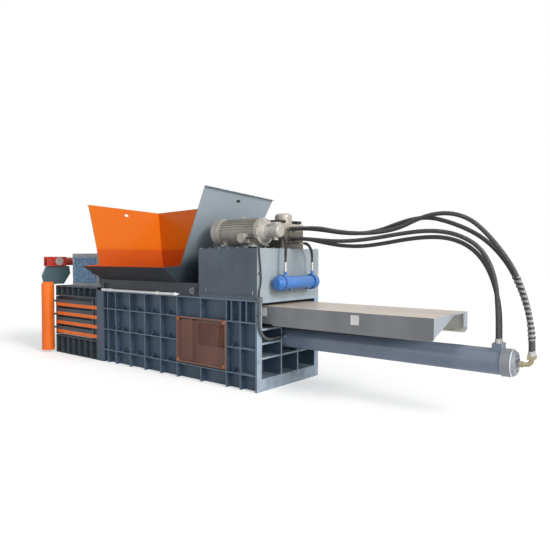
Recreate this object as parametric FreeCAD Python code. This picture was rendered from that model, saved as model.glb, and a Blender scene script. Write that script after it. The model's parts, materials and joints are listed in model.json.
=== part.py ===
import FreeCAD, Part
import math
import os
from FreeCAD import Vector

# Horizontal recycling baler, millimetres, +Z up, at real size.
# X runs along the machine: the main cylinder's tail is at +X, the bale comes out at -X.
# The near long side, with the guarded window, faces -Y. The origin is on the floor,
# in the middle of the press box.

# ---- press box -------------------------------------------------------------------------
BOX_LENGTH = 3600.0
BOX_WIDTH = 1400.0
BOX_HEIGHT = 1200.0
RIB_DEPTH = 80.0          # how far the outer ribs stand off the wall plate
RIB_THICK = 16.0
WALL_PLATE = 20.0
RIB_PITCH = 378.0         # bay between the vertical ribs beside the hopper
FIRST_BAY = 224.0         # narrow bay beside the throat post
GUARD_BAY = 1000.0        # wide bay that the guard panel covers
GUARD_BAY_REAR = 550.0    # from that bay to the machine's rear
REAR_BAY = 255.0
HALF_RIB_OFFSETS = (91.0, 361.0)
RIB_ROWS = (210.0, 553.0, 900.0)
GUSSET_HEIGHT = 70.0
GUSSET_SHARE = 0.36       # how far along its bay each little gusset stands
POST_WIDTH = 200.0        # vertical post at the throat
END_FLANGE_WIDTH = 100.0
END_FLANGE_THICK = 30.0
TOP_RAIL = 20.0
FLOOR_TOP = 130.0
FLOOR_PLATE = 30.0
CROSS_BEAM = 110.0
CROSS_BEAM_PITCH = 560.0
REAR_SILL_PLATE = 24.0    # plate that closes the base under the rear frame
WINDOW_INSET = 360.0      # of the window behind the guard's left edge
WINDOW_WIDTH = 600.0
WINDOW_Z = (500.0, 820.0)
WINDOW_RIB = 40.0         # of the rib behind the guard, in front of the window
ROOF_PLATE = 40.0

# ---- rear frame round the main cylinder ------------------------------------------------
REAR_DEPTH = 300.0
REAR_SILL = 165.0
SHELF = 25.0
SHELF_LOW = 420.0
SHELF_MID = 615.0
SHELF_GAP = 63.0          # under the deck's skirts
DIVIDER = 25.0
DIVIDER_Y = 187.0
MOUNT_PLATE = 60.0

# ---- main cylinder and ram -------------------------------------------------------------
CYL_DROP = 465.0          # of the cylinder's axis under the deck's top
CYL_R = 140.0
CYL_BORE_R = 110.0
CYL_REACH = 2840.0        # of the barrel behind the press box
CYL_FLANGE_R = 205.0
CYL_FLANGE = 60.0
TAIL_R = 150.0
TAIL_LENGTH = 100.0
TAIL_PLUG = 35.0
ROD_R = 75.0
PISTON_LENGTH = 180.0
PISTON_PARK = 60.0        # of the piston from the barrel's tail, with the ram home
GLAND_LENGTH = 140.0
RUN_FIT = 0.05            # radial clearance of a shaft or piston in its bore
HAND_GAP = 0.3            # clearance of faces that slide or sit loosely
RAM_PARK = 25.0           # how far behind the mouth the ram's face rests
RAM_LENGTH = 700.0
RAM_SIDE_GAP = 10.0
RAM_SHEET = 30.0
RAM_GROOVES = 4
RAM_GROOVE = (30.0, 14.0)  # height and depth of the strapping grooves
SHOE_HEIGHT = 6.0
SHOE_WIDTH = 120.0
DECK_DROP = 82.0          # of the deck's top under the box's top
DECK_SHEET = 16.0
DECK_WIDTH = 1020.0
DECK_REACH = 2280.0       # of the deck behind the press box
SKIRT_DEPTH = 214.0
SKIRT_SHEET = 14.0
DECK_GUSSET_LEG = 600.0
DECK_GUSSET_FLANGE = 42.0
KNIFE_GAP = 3.0
KNIFE_HEIGHT = 34.0
KNIFE_DEPTH = 50.0

# ---- hopper ----------------------------------------------------------------------------
MOUTH_INSET = 210.0       # of the roof's opening behind the throat
MOUTH_REAR = 1535.0       # from that opening to the machine's rear
COLLAR_RIM = 60.0
COLLAR_TANK_GAP = 15.0
COLLAR_HEIGHT = 190.0
COLLAR_SHEET = 10.0
HOPPER_SHEET = 10.0
HOPPER_BEND_RISE = 510.0  # heights of the hopper over its collar
LEFT_NEAR_RISE = 1265.0
LEFT_FAR_RISE = 1215.0
RIGHT_NEAR_RISE = 1355.0
RIGHT_FAR_RISE = 1285.0
HOPPER_LEFT_LEAN = (0.24, 0.33)   # sideways run per unit of height, below and above the bend
HOPPER_BACK_LEAN = (0.06, 0.17)
HOPPER_RIGHT_LEAN = 0.461
HOPPER_NEAR_REACH = 45.0  # of the side walls past the box's side
FLAP_REACH = 350.0
FLAP_RISE = 225.0
LIP = 40.0
LIP_SHEET = 8.0
LIFT_HOLE = (84.0, 44.0)
LIFT_HOLE_DROP = 115.0
LUG_SHEET = 25.0
LUG_REACH = 78.0
LUG_HOLE_R = 22.0
LUG_INSETS = (50.0, 100.0)  # of the lugs from the collar's two ends
PIPE_R = 20.0
PIPE_INSETS = (78.0, 15.0)  # of the pipe from the mouth's two ends
PIPE_RISE = 22.0          # of the pipe's axis over the collar's foot
PIPE_STAND = 50.0         # of the pipe's axis off the collar

# ---- guard over the window -------------------------------------------------------------
GUARD_FRAME = 42.0
GUARD_THICK = 12.0
GUARD_MESH_THICK = 3.0
GUARD_MESH_PITCH = 62.0
GUARD_MESH_WIRE = 10.0
GUARD_KNOB_R = 26.0
GUARD_KNOB_INSET = 36.0

# ---- oil tank and cooler ---------------------------------------------------------------
TANK_LENGTH = 1085.0
TANK_FOOT = 70.0
TANK_HEIGHT = 680.0
TANK_SHEET = 8.0
LID_SHEET = 12.0
TANK_TAB = (12.0, 60.0)   # thickness and height of the lifting tabs
TANK_TAB_REACH = 10.0
COOLER_R = 100.0
COOLER_SHELL_R = 90.0
SADDLE = 14.0
COOLER_STAND = 130.0
COOLER_RISE = 220.0       # of its axis over the box's top
COOLER_Y = -15.0
COOLER_LENGTH = 890.0
COOLER_CAP = 130.0
COOLER_PORTS = (-270.0, 350.0)  # Y of the two hose ports
SADDLES = (-200.0, 190.0)     # Y of the two brackets
COOLER_HOSE_R = 15.0
FERRULE_LENGTH = 125.0

# ---- motor, pump and valves ------------------------------------------------------------
MOTOR_IN = 300.0          # of the motor's axis from the tank's near side
MOTOR_RISE = 225.0        # of that axis over the lid
MOTOR_R = 165.0
MOTOR_INSET = 117.0       # of the fan cowl from the tank's front
MOTOR_LENGTH = 833.0
COWL_LENGTH = 130.0
COWL_R = 195.0
COWL_SHEET = 4.0
COWL_SLOTS = 12
FIN_COUNT = 30
FIN_HEIGHT = 20.0
FIN_THICK = 6.0
SHAFT_R = 24.0
FAN_R = 150.0
FAN_BLADES = 7
BELL_LENGTH = 90.0
BELL_R = 140.0
PUMP_R = 85.0
PUMP_LENGTH = 205.0
BLOCK_LENGTH = 310.0
BLOCK_REAR = 60.0         # from the manifold to the tank's rear
BLOCK_Y = (-110.0, 390.0)
BLOCK_HEIGHT = 350.0
DOME_SET = 145.0          # of the dome behind the manifold's front
DOME_Y = 140.0
DOME_R = 122.0
DOME_HEIGHT = 150.0
VALVE_COUNT = 4
TERMINAL_SET = 635.0      # of the round terminal box behind the cowl's end
TERMINAL_DROP = 88.0      # under the motor's axis
TERMINAL_R = 64.0
FILTER_SET = 140.0        # in front of the manifold
FILTER_Y = 20.0
FILTER_R = 62.0
BREATHER_SET = 465.0      # behind the tank's front
BREATHER_Y = 280.0

# ---- outlet chamber --------------------------------------------------------------------
OUTLET_LENGTH = 1330.0
ARM_DEPTH = 110.0
SILL_TOP = 330.0
HEADER_DROP = 150.0       # of the outlet's top beam under and over the box's top
HEADER_RISE = 40.0
ARM_GAP = 10.0
BAR_HEIGHT = 60.0
BAR_THICK = 26.0
BAR_PITCH = 165.0
BAR_LOW_Z = 400.0
SLOT_HEIGHT = 40.0
ARM_PLATE = 25.0
HINGE_R = 25.0
KNUCKLE_R = 45.0
HINGE_INSET = 55.0
POST_R = 112.0
POST_GAP = 30.0
POST_STEP = 80.0          # of the round post's axis outside the machine's side
POST_FOOT = 40.0
POST_RISE = 100.0         # of the round post over the box's top
POST_CONE = (40.0, 22.0)  # height and taper of its end
HEAD_THICK = 60.0
PULL_Y = 590.0
PULL_FORK = 150.0         # from the pin to the root of the fork
PULL_TAIL = 225.0         # of the fork's cheeks past the pin
PULL_GAP = 180.0          # of bare rod between the barrel and the other fork
PULL_PISTON_Y = -60.0
PULL_CHEEK = 88.0         # half the height of the fork's cheeks
PULL_CAP_R = 78.0         # of the pin's round head
PULL_RISE = 380.0         # of the clamping cylinder over the post
PULL_R = 75.0
PULL_ROD_R = 35.0
PULL_BORE_R = 50.0
PULL_PIN_R = 30.0
BALL_R = 48.0
FORK_SHEET = 30.0
FORK_GAP = 12.0
COVER_FRONT = 390.0       # from the outlet's end to the valve cover
COVER_REAR = 100.0        # from the cover to the throat
COVER_SIDES = (100.0, 500.0)  # of its two sides from the box's near side
COVER_HEIGHT = 585.0
COVER_SHEET = 6.0

# ---- hoses and cables ------------------------------------------------------------------
ARCH_HOSE_R = 25.0
CABLE_R = 10.0
CONDUIT_R = 19.0
CONDUIT_STAND = 30.0      # of the conduit off the rear face
CONDUIT_IN = 15.0         # from the box's near side
JUNCTION = (28.0, 49.0)   # under and over the box's top
CABLE_CLIP = (39.0, 350.0)  # of the cable's strap: inwards and up from the box's edge
CONDUIT_CLIP = 183.0      # of the conduit's strap under the box's top
SWITCH_RISE = 37.0        # of the conduit's boss over the cylinder's axis
SWITCH_REACH = 185.0
CLIP_GAP = 2.0
ELBOW_REACH = 277.0       # of the elbow behind the barrel
ELBOW_RISE = 147.0
FERRULE = 45.0            # length of a long hose's end sleeve
SHORT_FERRULE = 30.0
TWIN_STEP = 36.0          # half the distance between two hoses side by side
TOP_PORT_HALF = 50.0
TOP_PORT_HEIGHT = 62.0

# ---- worked out from the sizes above ---------------------------------------------------
X_REAR = BOX_LENGTH / 2
X_THROAT = -BOX_LENGTH / 2
Y_OUT = BOX_WIDTH / 2
Y_PLATE = Y_OUT - RIB_DEPTH
Y_IN = Y_PLATE - WALL_PLATE
GUARD_BAY_END = X_REAR - GUARD_BAY_REAR
GUARD_BAY_X = GUARD_BAY_END - GUARD_BAY
WINDOW_X = (GUARD_BAY_X + WINDOW_INSET, GUARD_BAY_X + WINDOW_INSET + WINDOW_WIDTH)
TANK_X = X_REAR - TANK_LENGTH
TANK_TOP = BOX_HEIGHT + TANK_HEIGHT
MOUTH_X = (X_THROAT + MOUTH_INSET, X_REAR - MOUTH_REAR)
COLLAR_X = (MOUTH_X[0] - COLLAR_RIM, TANK_X - COLLAR_TANK_GAP)
COLLAR_TOP = BOX_HEIGHT + COLLAR_HEIGHT
LUG_X = (COLLAR_X[0] + LUG_INSETS[0], COLLAR_X[1] - LUG_INSETS[1])
PIPE_X = (MOUTH_X[0] + PIPE_INSETS[0], MOUTH_X[1] - PIPE_INSETS[1])
HOPPER_NEAR_Y = -Y_OUT - HOPPER_NEAR_REACH
HOPPER_BEND_Z = COLLAR_TOP + HOPPER_BEND_RISE
HOPPER_LEFT_NEAR_TOP = COLLAR_TOP + LEFT_NEAR_RISE
HOPPER_LEFT_FAR_TOP = COLLAR_TOP + LEFT_FAR_RISE
HOPPER_RIGHT_NEAR_TOP = COLLAR_TOP + RIGHT_NEAR_RISE
HOPPER_RIGHT_FAR_TOP = COLLAR_TOP + RIGHT_FAR_RISE
RAM_FRONT_X = MOUTH_X[1] + RAM_PARK
RAM_BACK_X = RAM_FRONT_X + RAM_LENGTH
RAM_HALF = Y_IN - RAM_SIDE_GAP
DECK_TOP = BOX_HEIGHT - DECK_DROP
DECK_END_X = X_REAR + DECK_REACH
SKIRT_BOTTOM = DECK_TOP - DECK_SHEET - SKIRT_DEPTH
SHELF_TOP = SKIRT_BOTTOM - SHELF_GAP - SHELF
CYL_Z = DECK_TOP - CYL_DROP
CYL_TAIL_X = X_REAR + CYL_REACH
MOUNT_X = X_REAR - REAR_DEPTH - MOUNT_PLATE
BARREL_X = MOUNT_X - CYL_FLANGE
PISTON_X = CYL_TAIL_X - PISTON_PARK - PISTON_LENGTH
X_OUTLET = X_THROAT - OUTLET_LENGTH
ARM_IN = Y_OUT - ARM_DEPTH
HINGE_X = X_THROAT - HINGE_INSET
HINGE_Y = Y_OUT - ARM_DEPTH / 2
HEADER_Z = (BOX_HEIGHT - HEADER_DROP, BOX_HEIGHT + HEADER_RISE)
BAR_ROOM = HEADER_Z[0] - ARM_GAP + SLOT_HEIGHT - (BAR_LOW_Z - BAR_HEIGHT / 2)
BAR_COUNT = int(BAR_ROOM // BAR_PITCH)    # bars that fit between the sill and the header
POST_X = X_OUTLET - POST_GAP - POST_R
POST_Y = Y_OUT + POST_STEP
POST_Z = (POST_FOOT, BOX_HEIGHT + POST_RISE)
PULL_Z = POST_Z[1] + PULL_RISE
COVER_X = (X_OUTLET + COVER_FRONT, X_THROAT - COVER_REAR)
COVER_Y = (-Y_OUT + COVER_SIDES[0], -Y_OUT + COVER_SIDES[1])
COOLER_X = X_REAR + COOLER_STAND
COOLER_Z = BOX_HEIGHT + COOLER_RISE
MOTOR_X = TANK_X + MOTOR_INSET
MOTOR_Y = -Y_OUT + MOTOR_IN
MOTOR_Z = TANK_TOP + MOTOR_RISE
TERMINAL_X = MOTOR_X + TERMINAL_SET
TERMINAL_Z = MOTOR_Z - TERMINAL_DROP
BELL_X = MOTOR_X + MOTOR_LENGTH
BLOCK_X = (X_REAR - BLOCK_REAR - BLOCK_LENGTH, X_REAR - BLOCK_REAR)
DOME_X = BLOCK_X[0] + DOME_SET
FILTER_X = BLOCK_X[0] - FILTER_SET
BREATHER_X = TANK_X + BREATHER_SET
DRAIN = (BELL_X + 24, MOTOR_Y + 162, MOTOR_Z - 33)    # oil port on the bell housing's flange
RETURN = (COOLER_X, 60.0, TANK_TOP + 77)              # return port on the manifold's elbow
CONDUIT_X = X_REAR + CONDUIT_STAND
CONDUIT_Y = -Y_OUT + CONDUIT_IN
JUNCTION_Z = (BOX_HEIGHT - JUNCTION[0], BOX_HEIGHT + JUNCTION[1])
SWITCH_PORT = (CONDUIT_X, -SWITCH_REACH, CYL_Z + SWITCH_RISE)
ELBOW_X = CYL_TAIL_X + ELBOW_REACH
ELBOW_TOP = CYL_Z + ELBOW_RISE
TOP_PORT_X = CYL_TAIL_X - TOP_PORT_HALF


# ---- small builders --------------------------------------------------------------------
def box(x, y, z):
    """A block between two values on each axis."""
    return Part.makeBox(x[1] - x[0], y[1] - y[0], z[1] - z[0], Vector(x[0], y[0], z[0]))


def rod(start, end, radius):
    """A round bar between two points."""
    line = Vector(*end) - Vector(*start)
    return Part.makeCylinder(radius, line.Length, Vector(*start), line)


def ring(start, end, outer, inner):
    return rod(start, end, outer).cut(rod(start, end, inner))


def prism(points, shift):
    """A flat outline pushed along a vector."""
    corners = [Vector(*p) for p in points]
    return Part.Face(Part.makePolygon(corners + corners[:1])).extrude(Vector(*shift))


def fuse(shapes):
    return shapes[0].multiFuse(shapes[1:]).removeSplitter()


def cut(shape, tools):
    return shape.cut(Part.makeCompound(tools))


def mirrored(shape):
    """The same piece on the other long side."""
    return shape.mirror(Vector(0, 0, 0), Vector(0, 1, 0))


def save(name, shapes):
    """Writes one node; a group of like pieces stays separate solids."""
    shape = shapes[0] if len(shapes) == 1 else Part.makeCompound(shapes)
    shape.exportStep("parts/" + name + ".step")
    print(name, "solids", len(shape.Solids), "valid", shape.isValid())


# ---- press box -------------------------------------------------------------------------
def base_frame():
    parts = [box((X_THROAT, X_REAR), (-Y_IN, Y_IN), (FLOOR_TOP - FLOOR_PLATE, FLOOR_TOP))]
    reach = int((BOX_LENGTH / 2 - CROSS_BEAM) / CROSS_BEAM_PITCH)
    for step in range(-reach, reach + 1):
        x = step * CROSS_BEAM_PITCH
        parts.append(box((x - CROSS_BEAM / 2, x + CROSS_BEAM / 2), (-Y_IN, Y_IN),
                         (0, FLOOR_TOP - FLOOR_PLATE)))
    parts.append(box((X_REAR - REAR_SILL_PLATE, X_REAR), (-Y_IN, Y_IN), (0, FLOOR_TOP - FLOOR_PLATE)))
    return fuse(parts)


def rib_places():
    """X of each full-height rib's middle, from the throat to the rear."""
    post_end = X_THROAT + POST_WIDTH
    bays = int((GUARD_BAY_X - post_end) / RIB_PITCH)
    places = [GUARD_BAY_X - RIB_PITCH * step for step in range(bays, -1, -1)]
    if places[0] - FIRST_BAY > post_end + RIB_THICK:
        places.insert(0, places[0] - FIRST_BAY)
    return places + [GUARD_BAY_END, GUARD_BAY_END + REAR_BAY]


def vertical_ribs(guarded):
    half = RIB_THICK / 2
    ribs = []
    for x in rib_places():
        ribs.append(box((x - half, x + half), (-Y_OUT, -Y_PLATE), (0, BOX_HEIGHT)))
    for offset in HALF_RIB_OFFSETS:
        x = GUARD_BAY_END + offset
        ribs.append(box((x - half, x + half), (-Y_OUT, -Y_PLATE), (RIB_ROWS[2], BOX_HEIGHT)))
    middle = (GUARD_BAY_X + GUARD_BAY_END) / 2
    spans = [(middle, 0, RIB_ROWS[0]), (middle, RIB_ROWS[2], BOX_HEIGHT),
             (WINDOW_X[0] - WINDOW_RIB, RIB_ROWS[0], RIB_ROWS[2])]
    if not guarded:
        spans = [(middle, 0, BOX_HEIGHT)]
    for x, low, high in spans:
        ribs.append(box((x - half, x + half), (-Y_OUT, -Y_PLATE), (low, high)))
    return ribs


def horizontal_ribs(guarded):
    left = X_THROAT + POST_WIDTH
    right = X_REAR - END_FLANGE_THICK
    half = RIB_THICK / 2
    ribs = []
    for row, z in enumerate(RIB_ROWS):
        spans = [(left, right)]
        if guarded and row == 1:
            spans = [(left, GUARD_BAY_X), (GUARD_BAY_END, right)]
        for span in spans:
            ribs.append(box(span, (-Y_OUT, -Y_PLATE), (z - half, z + half)))
    return ribs


def rib_gussets(guarded):
    """Little triangles that stand on the horizontal ribs, one in each bay."""
    places = rib_places()
    pieces = []
    for left, right in zip(places[:-1], places[1:]):
        if left == GUARD_BAY_X and guarded:
            continue
        x = left + (right - left) * GUSSET_SHARE
        for z in RIB_ROWS:
            foot = z + RIB_THICK / 2
            outline = [(x, -Y_PLATE, foot), (x, -Y_OUT, foot), (x, -Y_PLATE, foot + GUSSET_HEIGHT)]
            pieces.append(prism(outline, (RIB_THICK / 2, 0, 0)))
    return pieces


def side_wall(guarded):
    """Wall plate with its grid of ribs, throat post, end flange and top rail, on the near side."""
    parts = [box((X_THROAT, X_REAR), (-Y_PLATE, -Y_IN), (0, BOX_HEIGHT))]
    parts.append(box((X_THROAT, X_THROAT + POST_WIDTH), (-Y_OUT, -Y_PLATE), (0, BOX_HEIGHT)))
    parts.append(box((X_REAR - END_FLANGE_THICK, X_REAR), (-Y_OUT, -Y_PLATE), (0, BOX_HEIGHT)))
    parts.append(box((X_THROAT, X_REAR), (-Y_OUT, -Y_PLATE), (BOX_HEIGHT - TOP_RAIL, BOX_HEIGHT)))
    parts += vertical_ribs(guarded) + horizontal_ribs(guarded) + rib_gussets(guarded)
    wall = fuse(parts)
    if guarded:
        wall = wall.cut(box(WINDOW_X, (-Y_OUT - 1, -Y_IN + 1), WINDOW_Z))
    return wall


def rear_frame():
    """Open boxes of plate between the side walls, and the plate that holds the cylinder."""
    front = X_REAR - REAR_DEPTH
    deep = (front, X_REAR)
    parts = [box(deep, (-Y_IN, Y_IN), (FLOOR_TOP, REAR_SILL))]
    parts.append(box(deep, (-Y_IN, Y_IN), (SHELF_LOW, SHELF_LOW + SHELF)))
    for side in (-1, 1):
        inner = side * DIVIDER_Y
        span = sorted((inner - DIVIDER / 2, inner + DIVIDER / 2))
        parts.append(box(deep, span, (REAR_SILL, SHELF_TOP)))
        outer = sorted((inner, side * Y_IN))
        for z in (SHELF_MID, SHELF_TOP):
            parts.append(box(deep, outer, (z, z + SHELF)))
    top = SHELF_TOP + SHELF
    parts.append(box((MOUNT_X, front), (-Y_IN, Y_IN), (FLOOR_TOP, top)))
    frame = fuse(parts)
    bore = rod((MOUNT_X - 1, 0, CYL_Z), (X_REAR + 1, 0, CYL_Z), CYL_R + HAND_GAP)
    return frame.cut(bore)


def roof_plates():
    z = (BOX_HEIGHT - ROOF_PLATE, BOX_HEIGHT)
    return [box((X_THROAT, MOUTH_X[0]), (-Y_IN, Y_IN), z), box((MOUTH_X[1], X_REAR), (-Y_IN, Y_IN), z)]


def fixed_knife():
    top = BOX_HEIGHT - ROOF_PLATE
    low = DECK_TOP + KNIFE_GAP
    return box((MOUTH_X[0] - KNIFE_DEPTH, MOUTH_X[0]), (-Y_IN, Y_IN), (low, top))


# ---- hopper ----------------------------------------------------------------------------
def left_x(z):
    low = min(z, HOPPER_BEND_Z) - COLLAR_TOP
    high = max(z - HOPPER_BEND_Z, 0.0)
    return MOUTH_X[0] - HOPPER_LEFT_LEAN[0] * low - HOPPER_LEFT_LEAN[1] * high


def right_x(z):
    return MOUTH_X[1] + HOPPER_RIGHT_LEAN * (z - COLLAR_TOP)


def back_y(z):
    low = min(z, HOPPER_BEND_Z) - COLLAR_TOP
    high = max(z - HOPPER_BEND_Z, 0.0)
    return Y_IN + HOPPER_BACK_LEAN[0] * low + HOPPER_BACK_LEAN[1] * high


def lifting_lug(x, side):
    """A plate with a round end and a hole, upright on the collar's long side."""
    z = BOX_HEIGHT + COLLAR_HEIGHT * 0.45
    tip = side * (Y_OUT + LUG_REACH - LUG_HOLE_R * 2)
    span = sorted((side * Y_OUT, tip))
    width = LUG_HOLE_R * 2
    plate = box((x, x + LUG_SHEET), span, (z - width, z + width))
    nose = rod((x, tip, z), (x + LUG_SHEET, tip, z), width)
    hole = rod((x - 1, tip, z), (x + LUG_SHEET + 1, tip, z), LUG_HOLE_R)
    return fuse([plate, nose]).cut(hole)


def hopper_base():
    """Hollow collar round the mouth, closed over the ram behind it, with its four lifting lugs."""
    z = (BOX_HEIGHT, COLLAR_TOP)
    inner_z = (BOX_HEIGHT - 1, COLLAR_TOP - COLLAR_SHEET)
    collar = box(COLLAR_X, (-Y_OUT, Y_OUT), z)
    sheet = COLLAR_SHEET
    left = (COLLAR_X[0] + sheet, MOUTH_X[0] - sheet)
    right = (MOUTH_X[1] + sheet, COLLAR_X[1] - sheet)
    full = (-Y_OUT + sheet, Y_OUT - sheet)
    tools = [box(MOUTH_X, (-Y_IN, Y_IN), (BOX_HEIGHT - 1, COLLAR_TOP + 1))]
    tools += [box(left, full, inner_z), box(right, full, inner_z)]
    for side in (-1, 1):
        span = sorted((side * (Y_IN + sheet), side * (Y_OUT - sheet)))
        tools.append(box((COLLAR_X[0] + sheet, COLLAR_X[1] - sheet), span, inner_z))
    collar = cut(collar, tools)
    lugs = [lifting_lug(x, side) for x in LUG_X for side in (-1, 1)]
    return fuse([collar] + lugs)


def side_outline(wall_x, near_top, far_top):
    """The corners of a leaning side wall's lower and upper leaves, on its inner face."""
    def at(y, z):
        return (wall_x(z), y, z)
    bend = HOPPER_BEND_Z
    tip_z = COLLAR_TOP + FLAP_RISE
    lower = [at(-Y_OUT - HOPPER_SHEET, COLLAR_TOP), at(-Y_OUT - FLAP_REACH - HOPPER_SHEET, tip_z),
             at(HOPPER_NEAR_Y, tip_z + LIP / 2), at(HOPPER_NEAR_Y, bend),
             at(back_y(bend) + HOPPER_SHEET, bend), at(back_y(COLLAR_TOP) + HOPPER_SHEET, COLLAR_TOP)]
    upper = [at(HOPPER_NEAR_Y, bend), at(HOPPER_NEAR_Y, near_top),
             at(back_y(far_top) + HOPPER_SHEET, far_top), at(back_y(bend) + HOPPER_SHEET, bend)]
    return lower, upper


def hopper_lip(wall_x, near_top, far_top, out):
    """The folded edge along the top of a side wall, on its outer side."""
    y_far = back_y(far_top) + HOPPER_SHEET
    points = [(wall_x(near_top), HOPPER_NEAR_Y, near_top), (wall_x(far_top), y_far, far_top),
              (wall_x(far_top), y_far, far_top - LIP_SHEET),
              (wall_x(near_top), HOPPER_NEAR_Y, near_top - LIP_SHEET)]
    corners = [Vector(*p) for p in points]
    side = Part.makeRuledSurface(Part.makeLine(corners[0], corners[1]),
                                 Part.makeLine(corners[3], corners[2]))
    return Part.Face(side.Faces[0]).extrude(Vector(out * LIP, 0, 0))


def lift_hole(y, z, x):
    """Oval hole through a side wall, long way along the wall."""
    half = (LIFT_HOLE[0] - LIFT_HOLE[1]) / 2
    radius = LIFT_HOLE[1] / 2
    ends = [rod((x - 150, y + s * half, z), (x + 150, y + s * half, z), radius) for s in (-1, 1)]
    return fuse(ends + [box((x - 150, x + 150), (y - half, y + half), (z - radius, z + radius))])


def hopper_side(wall_x, near_top, far_top, out):
    lower, upper = side_outline(wall_x, near_top, far_top)
    shift = (out * HOPPER_SHEET, 0, 0)
    wall = fuse([prism(lower, shift), prism(upper, shift), hopper_lip(wall_x, near_top, far_top, out)])
    hole_z = (near_top + far_top) / 2 - LIFT_HOLE_DROP
    return wall.cut(lift_hole(0.0, hole_z, wall_x(hole_z)))


def hopper_back():
    def at(wall_x, z):
        return (wall_x(z), back_y(z), z)
    bend = HOPPER_BEND_Z
    lower = [at(left_x, COLLAR_TOP), at(right_x, COLLAR_TOP), at(right_x, bend), at(left_x, bend)]
    upper = [at(left_x, bend), at(right_x, bend), at(right_x, HOPPER_RIGHT_FAR_TOP),
             at(left_x, HOPPER_LEFT_FAR_TOP)]
    return fuse([prism(lower, (0, HOPPER_SHEET, 0)), prism(upper, (0, HOPPER_SHEET, 0))])


def hopper_flap():
    z = COLLAR_TOP + FLAP_RISE
    out = -Y_OUT - FLAP_REACH
    points = [(left_x(COLLAR_TOP), -Y_OUT, COLLAR_TOP), (right_x(COLLAR_TOP), -Y_OUT, COLLAR_TOP),
              (right_x(z), out, z), (left_x(z), out, z)]
    return prism(points, (0, -HOPPER_SHEET, 0))


def bright_pipe():
    """Straight pressure pipe along the collar, with its end fittings and three clips."""
    y = -Y_OUT - PIPE_STAND
    z = BOX_HEIGHT + PIPE_RISE
    parts = [rod((PIPE_X[0], y, z), (PIPE_X[1], y, z), PIPE_R)]
    for x, way in ((PIPE_X[0], -1), (PIPE_X[1], 1)):
        parts.append(rod((x, y, z), (x + way * 30, y, z), PIPE_R + 6))
        parts.append(Part.makeSphere(PIPE_R + 4, Vector(x + way * 34, y, z)))
        parts.append(rod((x + way * 34, y, z), (x + way * 34, -Y_OUT, z), PIPE_R * 0.7))
    for share in (0.1, 0.78):
        x = PIPE_X[0] + (PIPE_X[1] - PIPE_X[0]) * share
        parts.append(rod((x - 18, y, z), (x + 18, y, z), PIPE_R + 7))
        parts.append(box((x - 12, x + 12), (y, -Y_OUT), (z - 10, z + 10)))
    return fuse(parts)


# ---- guard -----------------------------------------------------------------------------
def guard_panel():
    """Flat frame with a welded mesh, over the window in the near wall."""
    x = (GUARD_BAY_X, GUARD_BAY_END)
    z = (RIB_ROWS[0] + 25, RIB_ROWS[2] + 6)
    inner_x = (x[0] + GUARD_FRAME, x[1] - GUARD_FRAME)
    inner_z = (z[0] + GUARD_FRAME, z[1] - GUARD_FRAME)
    y = -Y_OUT - GUARD_THICK
    frame = box(x, (y, -Y_OUT), z).cut(box(inner_x, (y - 1, -Y_OUT + 1), inner_z))
    mesh_y = (y + 4, y + 4 + GUARD_MESH_THICK)
    mesh = box(inner_x, mesh_y, inner_z)
    columns = int((inner_x[1] - inner_x[0]) / GUARD_MESH_PITCH)
    rows = int((inner_z[1] - inner_z[0]) / GUARD_MESH_PITCH)
    step_x = (inner_x[1] - inner_x[0]) / columns
    step_z = (inner_z[1] - inner_z[0]) / rows
    holes = []
    for column in range(columns):
        for row in range(rows):
            left = inner_x[0] + column * step_x + GUARD_MESH_WIRE / 2
            low = inner_z[0] + row * step_z + GUARD_MESH_WIRE / 2
            holes.append(box((left, left + step_x - GUARD_MESH_WIRE), (y, -Y_OUT),
                             (low, low + step_z - GUARD_MESH_WIRE)))
    return fuse([frame, cut(mesh, holes)])


def guard_knobs():
    y = -Y_OUT - GUARD_THICK
    knobs = []
    for x in (GUARD_BAY_X + GUARD_KNOB_INSET, GUARD_BAY_END - GUARD_KNOB_INSET):
        for z in (RIB_ROWS[0] + 25 + GUARD_KNOB_INSET, RIB_ROWS[2] + 6 - GUARD_KNOB_INSET):
            disc = rod((x, y, z), (x, y - 10, z), GUARD_KNOB_R)
            knobs.append(fuse([disc, rod((x, y - 10, z), (x, y - 24, z), GUARD_KNOB_R * 0.55)]))
    return knobs


# ---- oil tank, lid and cooler ----------------------------------------------------------
def cooler_saddle(y):
    """Flat bracket that holds the cooler off the tank's end, hollowed to its round."""
    low = COOLER_Z - COOLER_SHELL_R - SADDLE
    outline = [(X_REAR, y, COOLER_Z - 60), (COOLER_X, y, low), (COOLER_X + 40, y, low),
               (COOLER_X + 40, y, COOLER_Z), (COOLER_X, y, COOLER_Z), (X_REAR, y, COOLER_Z + 60)]
    saddle = prism(outline, (0, SADDLE, 0))
    return saddle.cut(rod((COOLER_X, y - 1, COOLER_Z), (COOLER_X, y + SADDLE + 1, COOLER_Z),
                          COOLER_SHELL_R + HAND_GAP))


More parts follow.
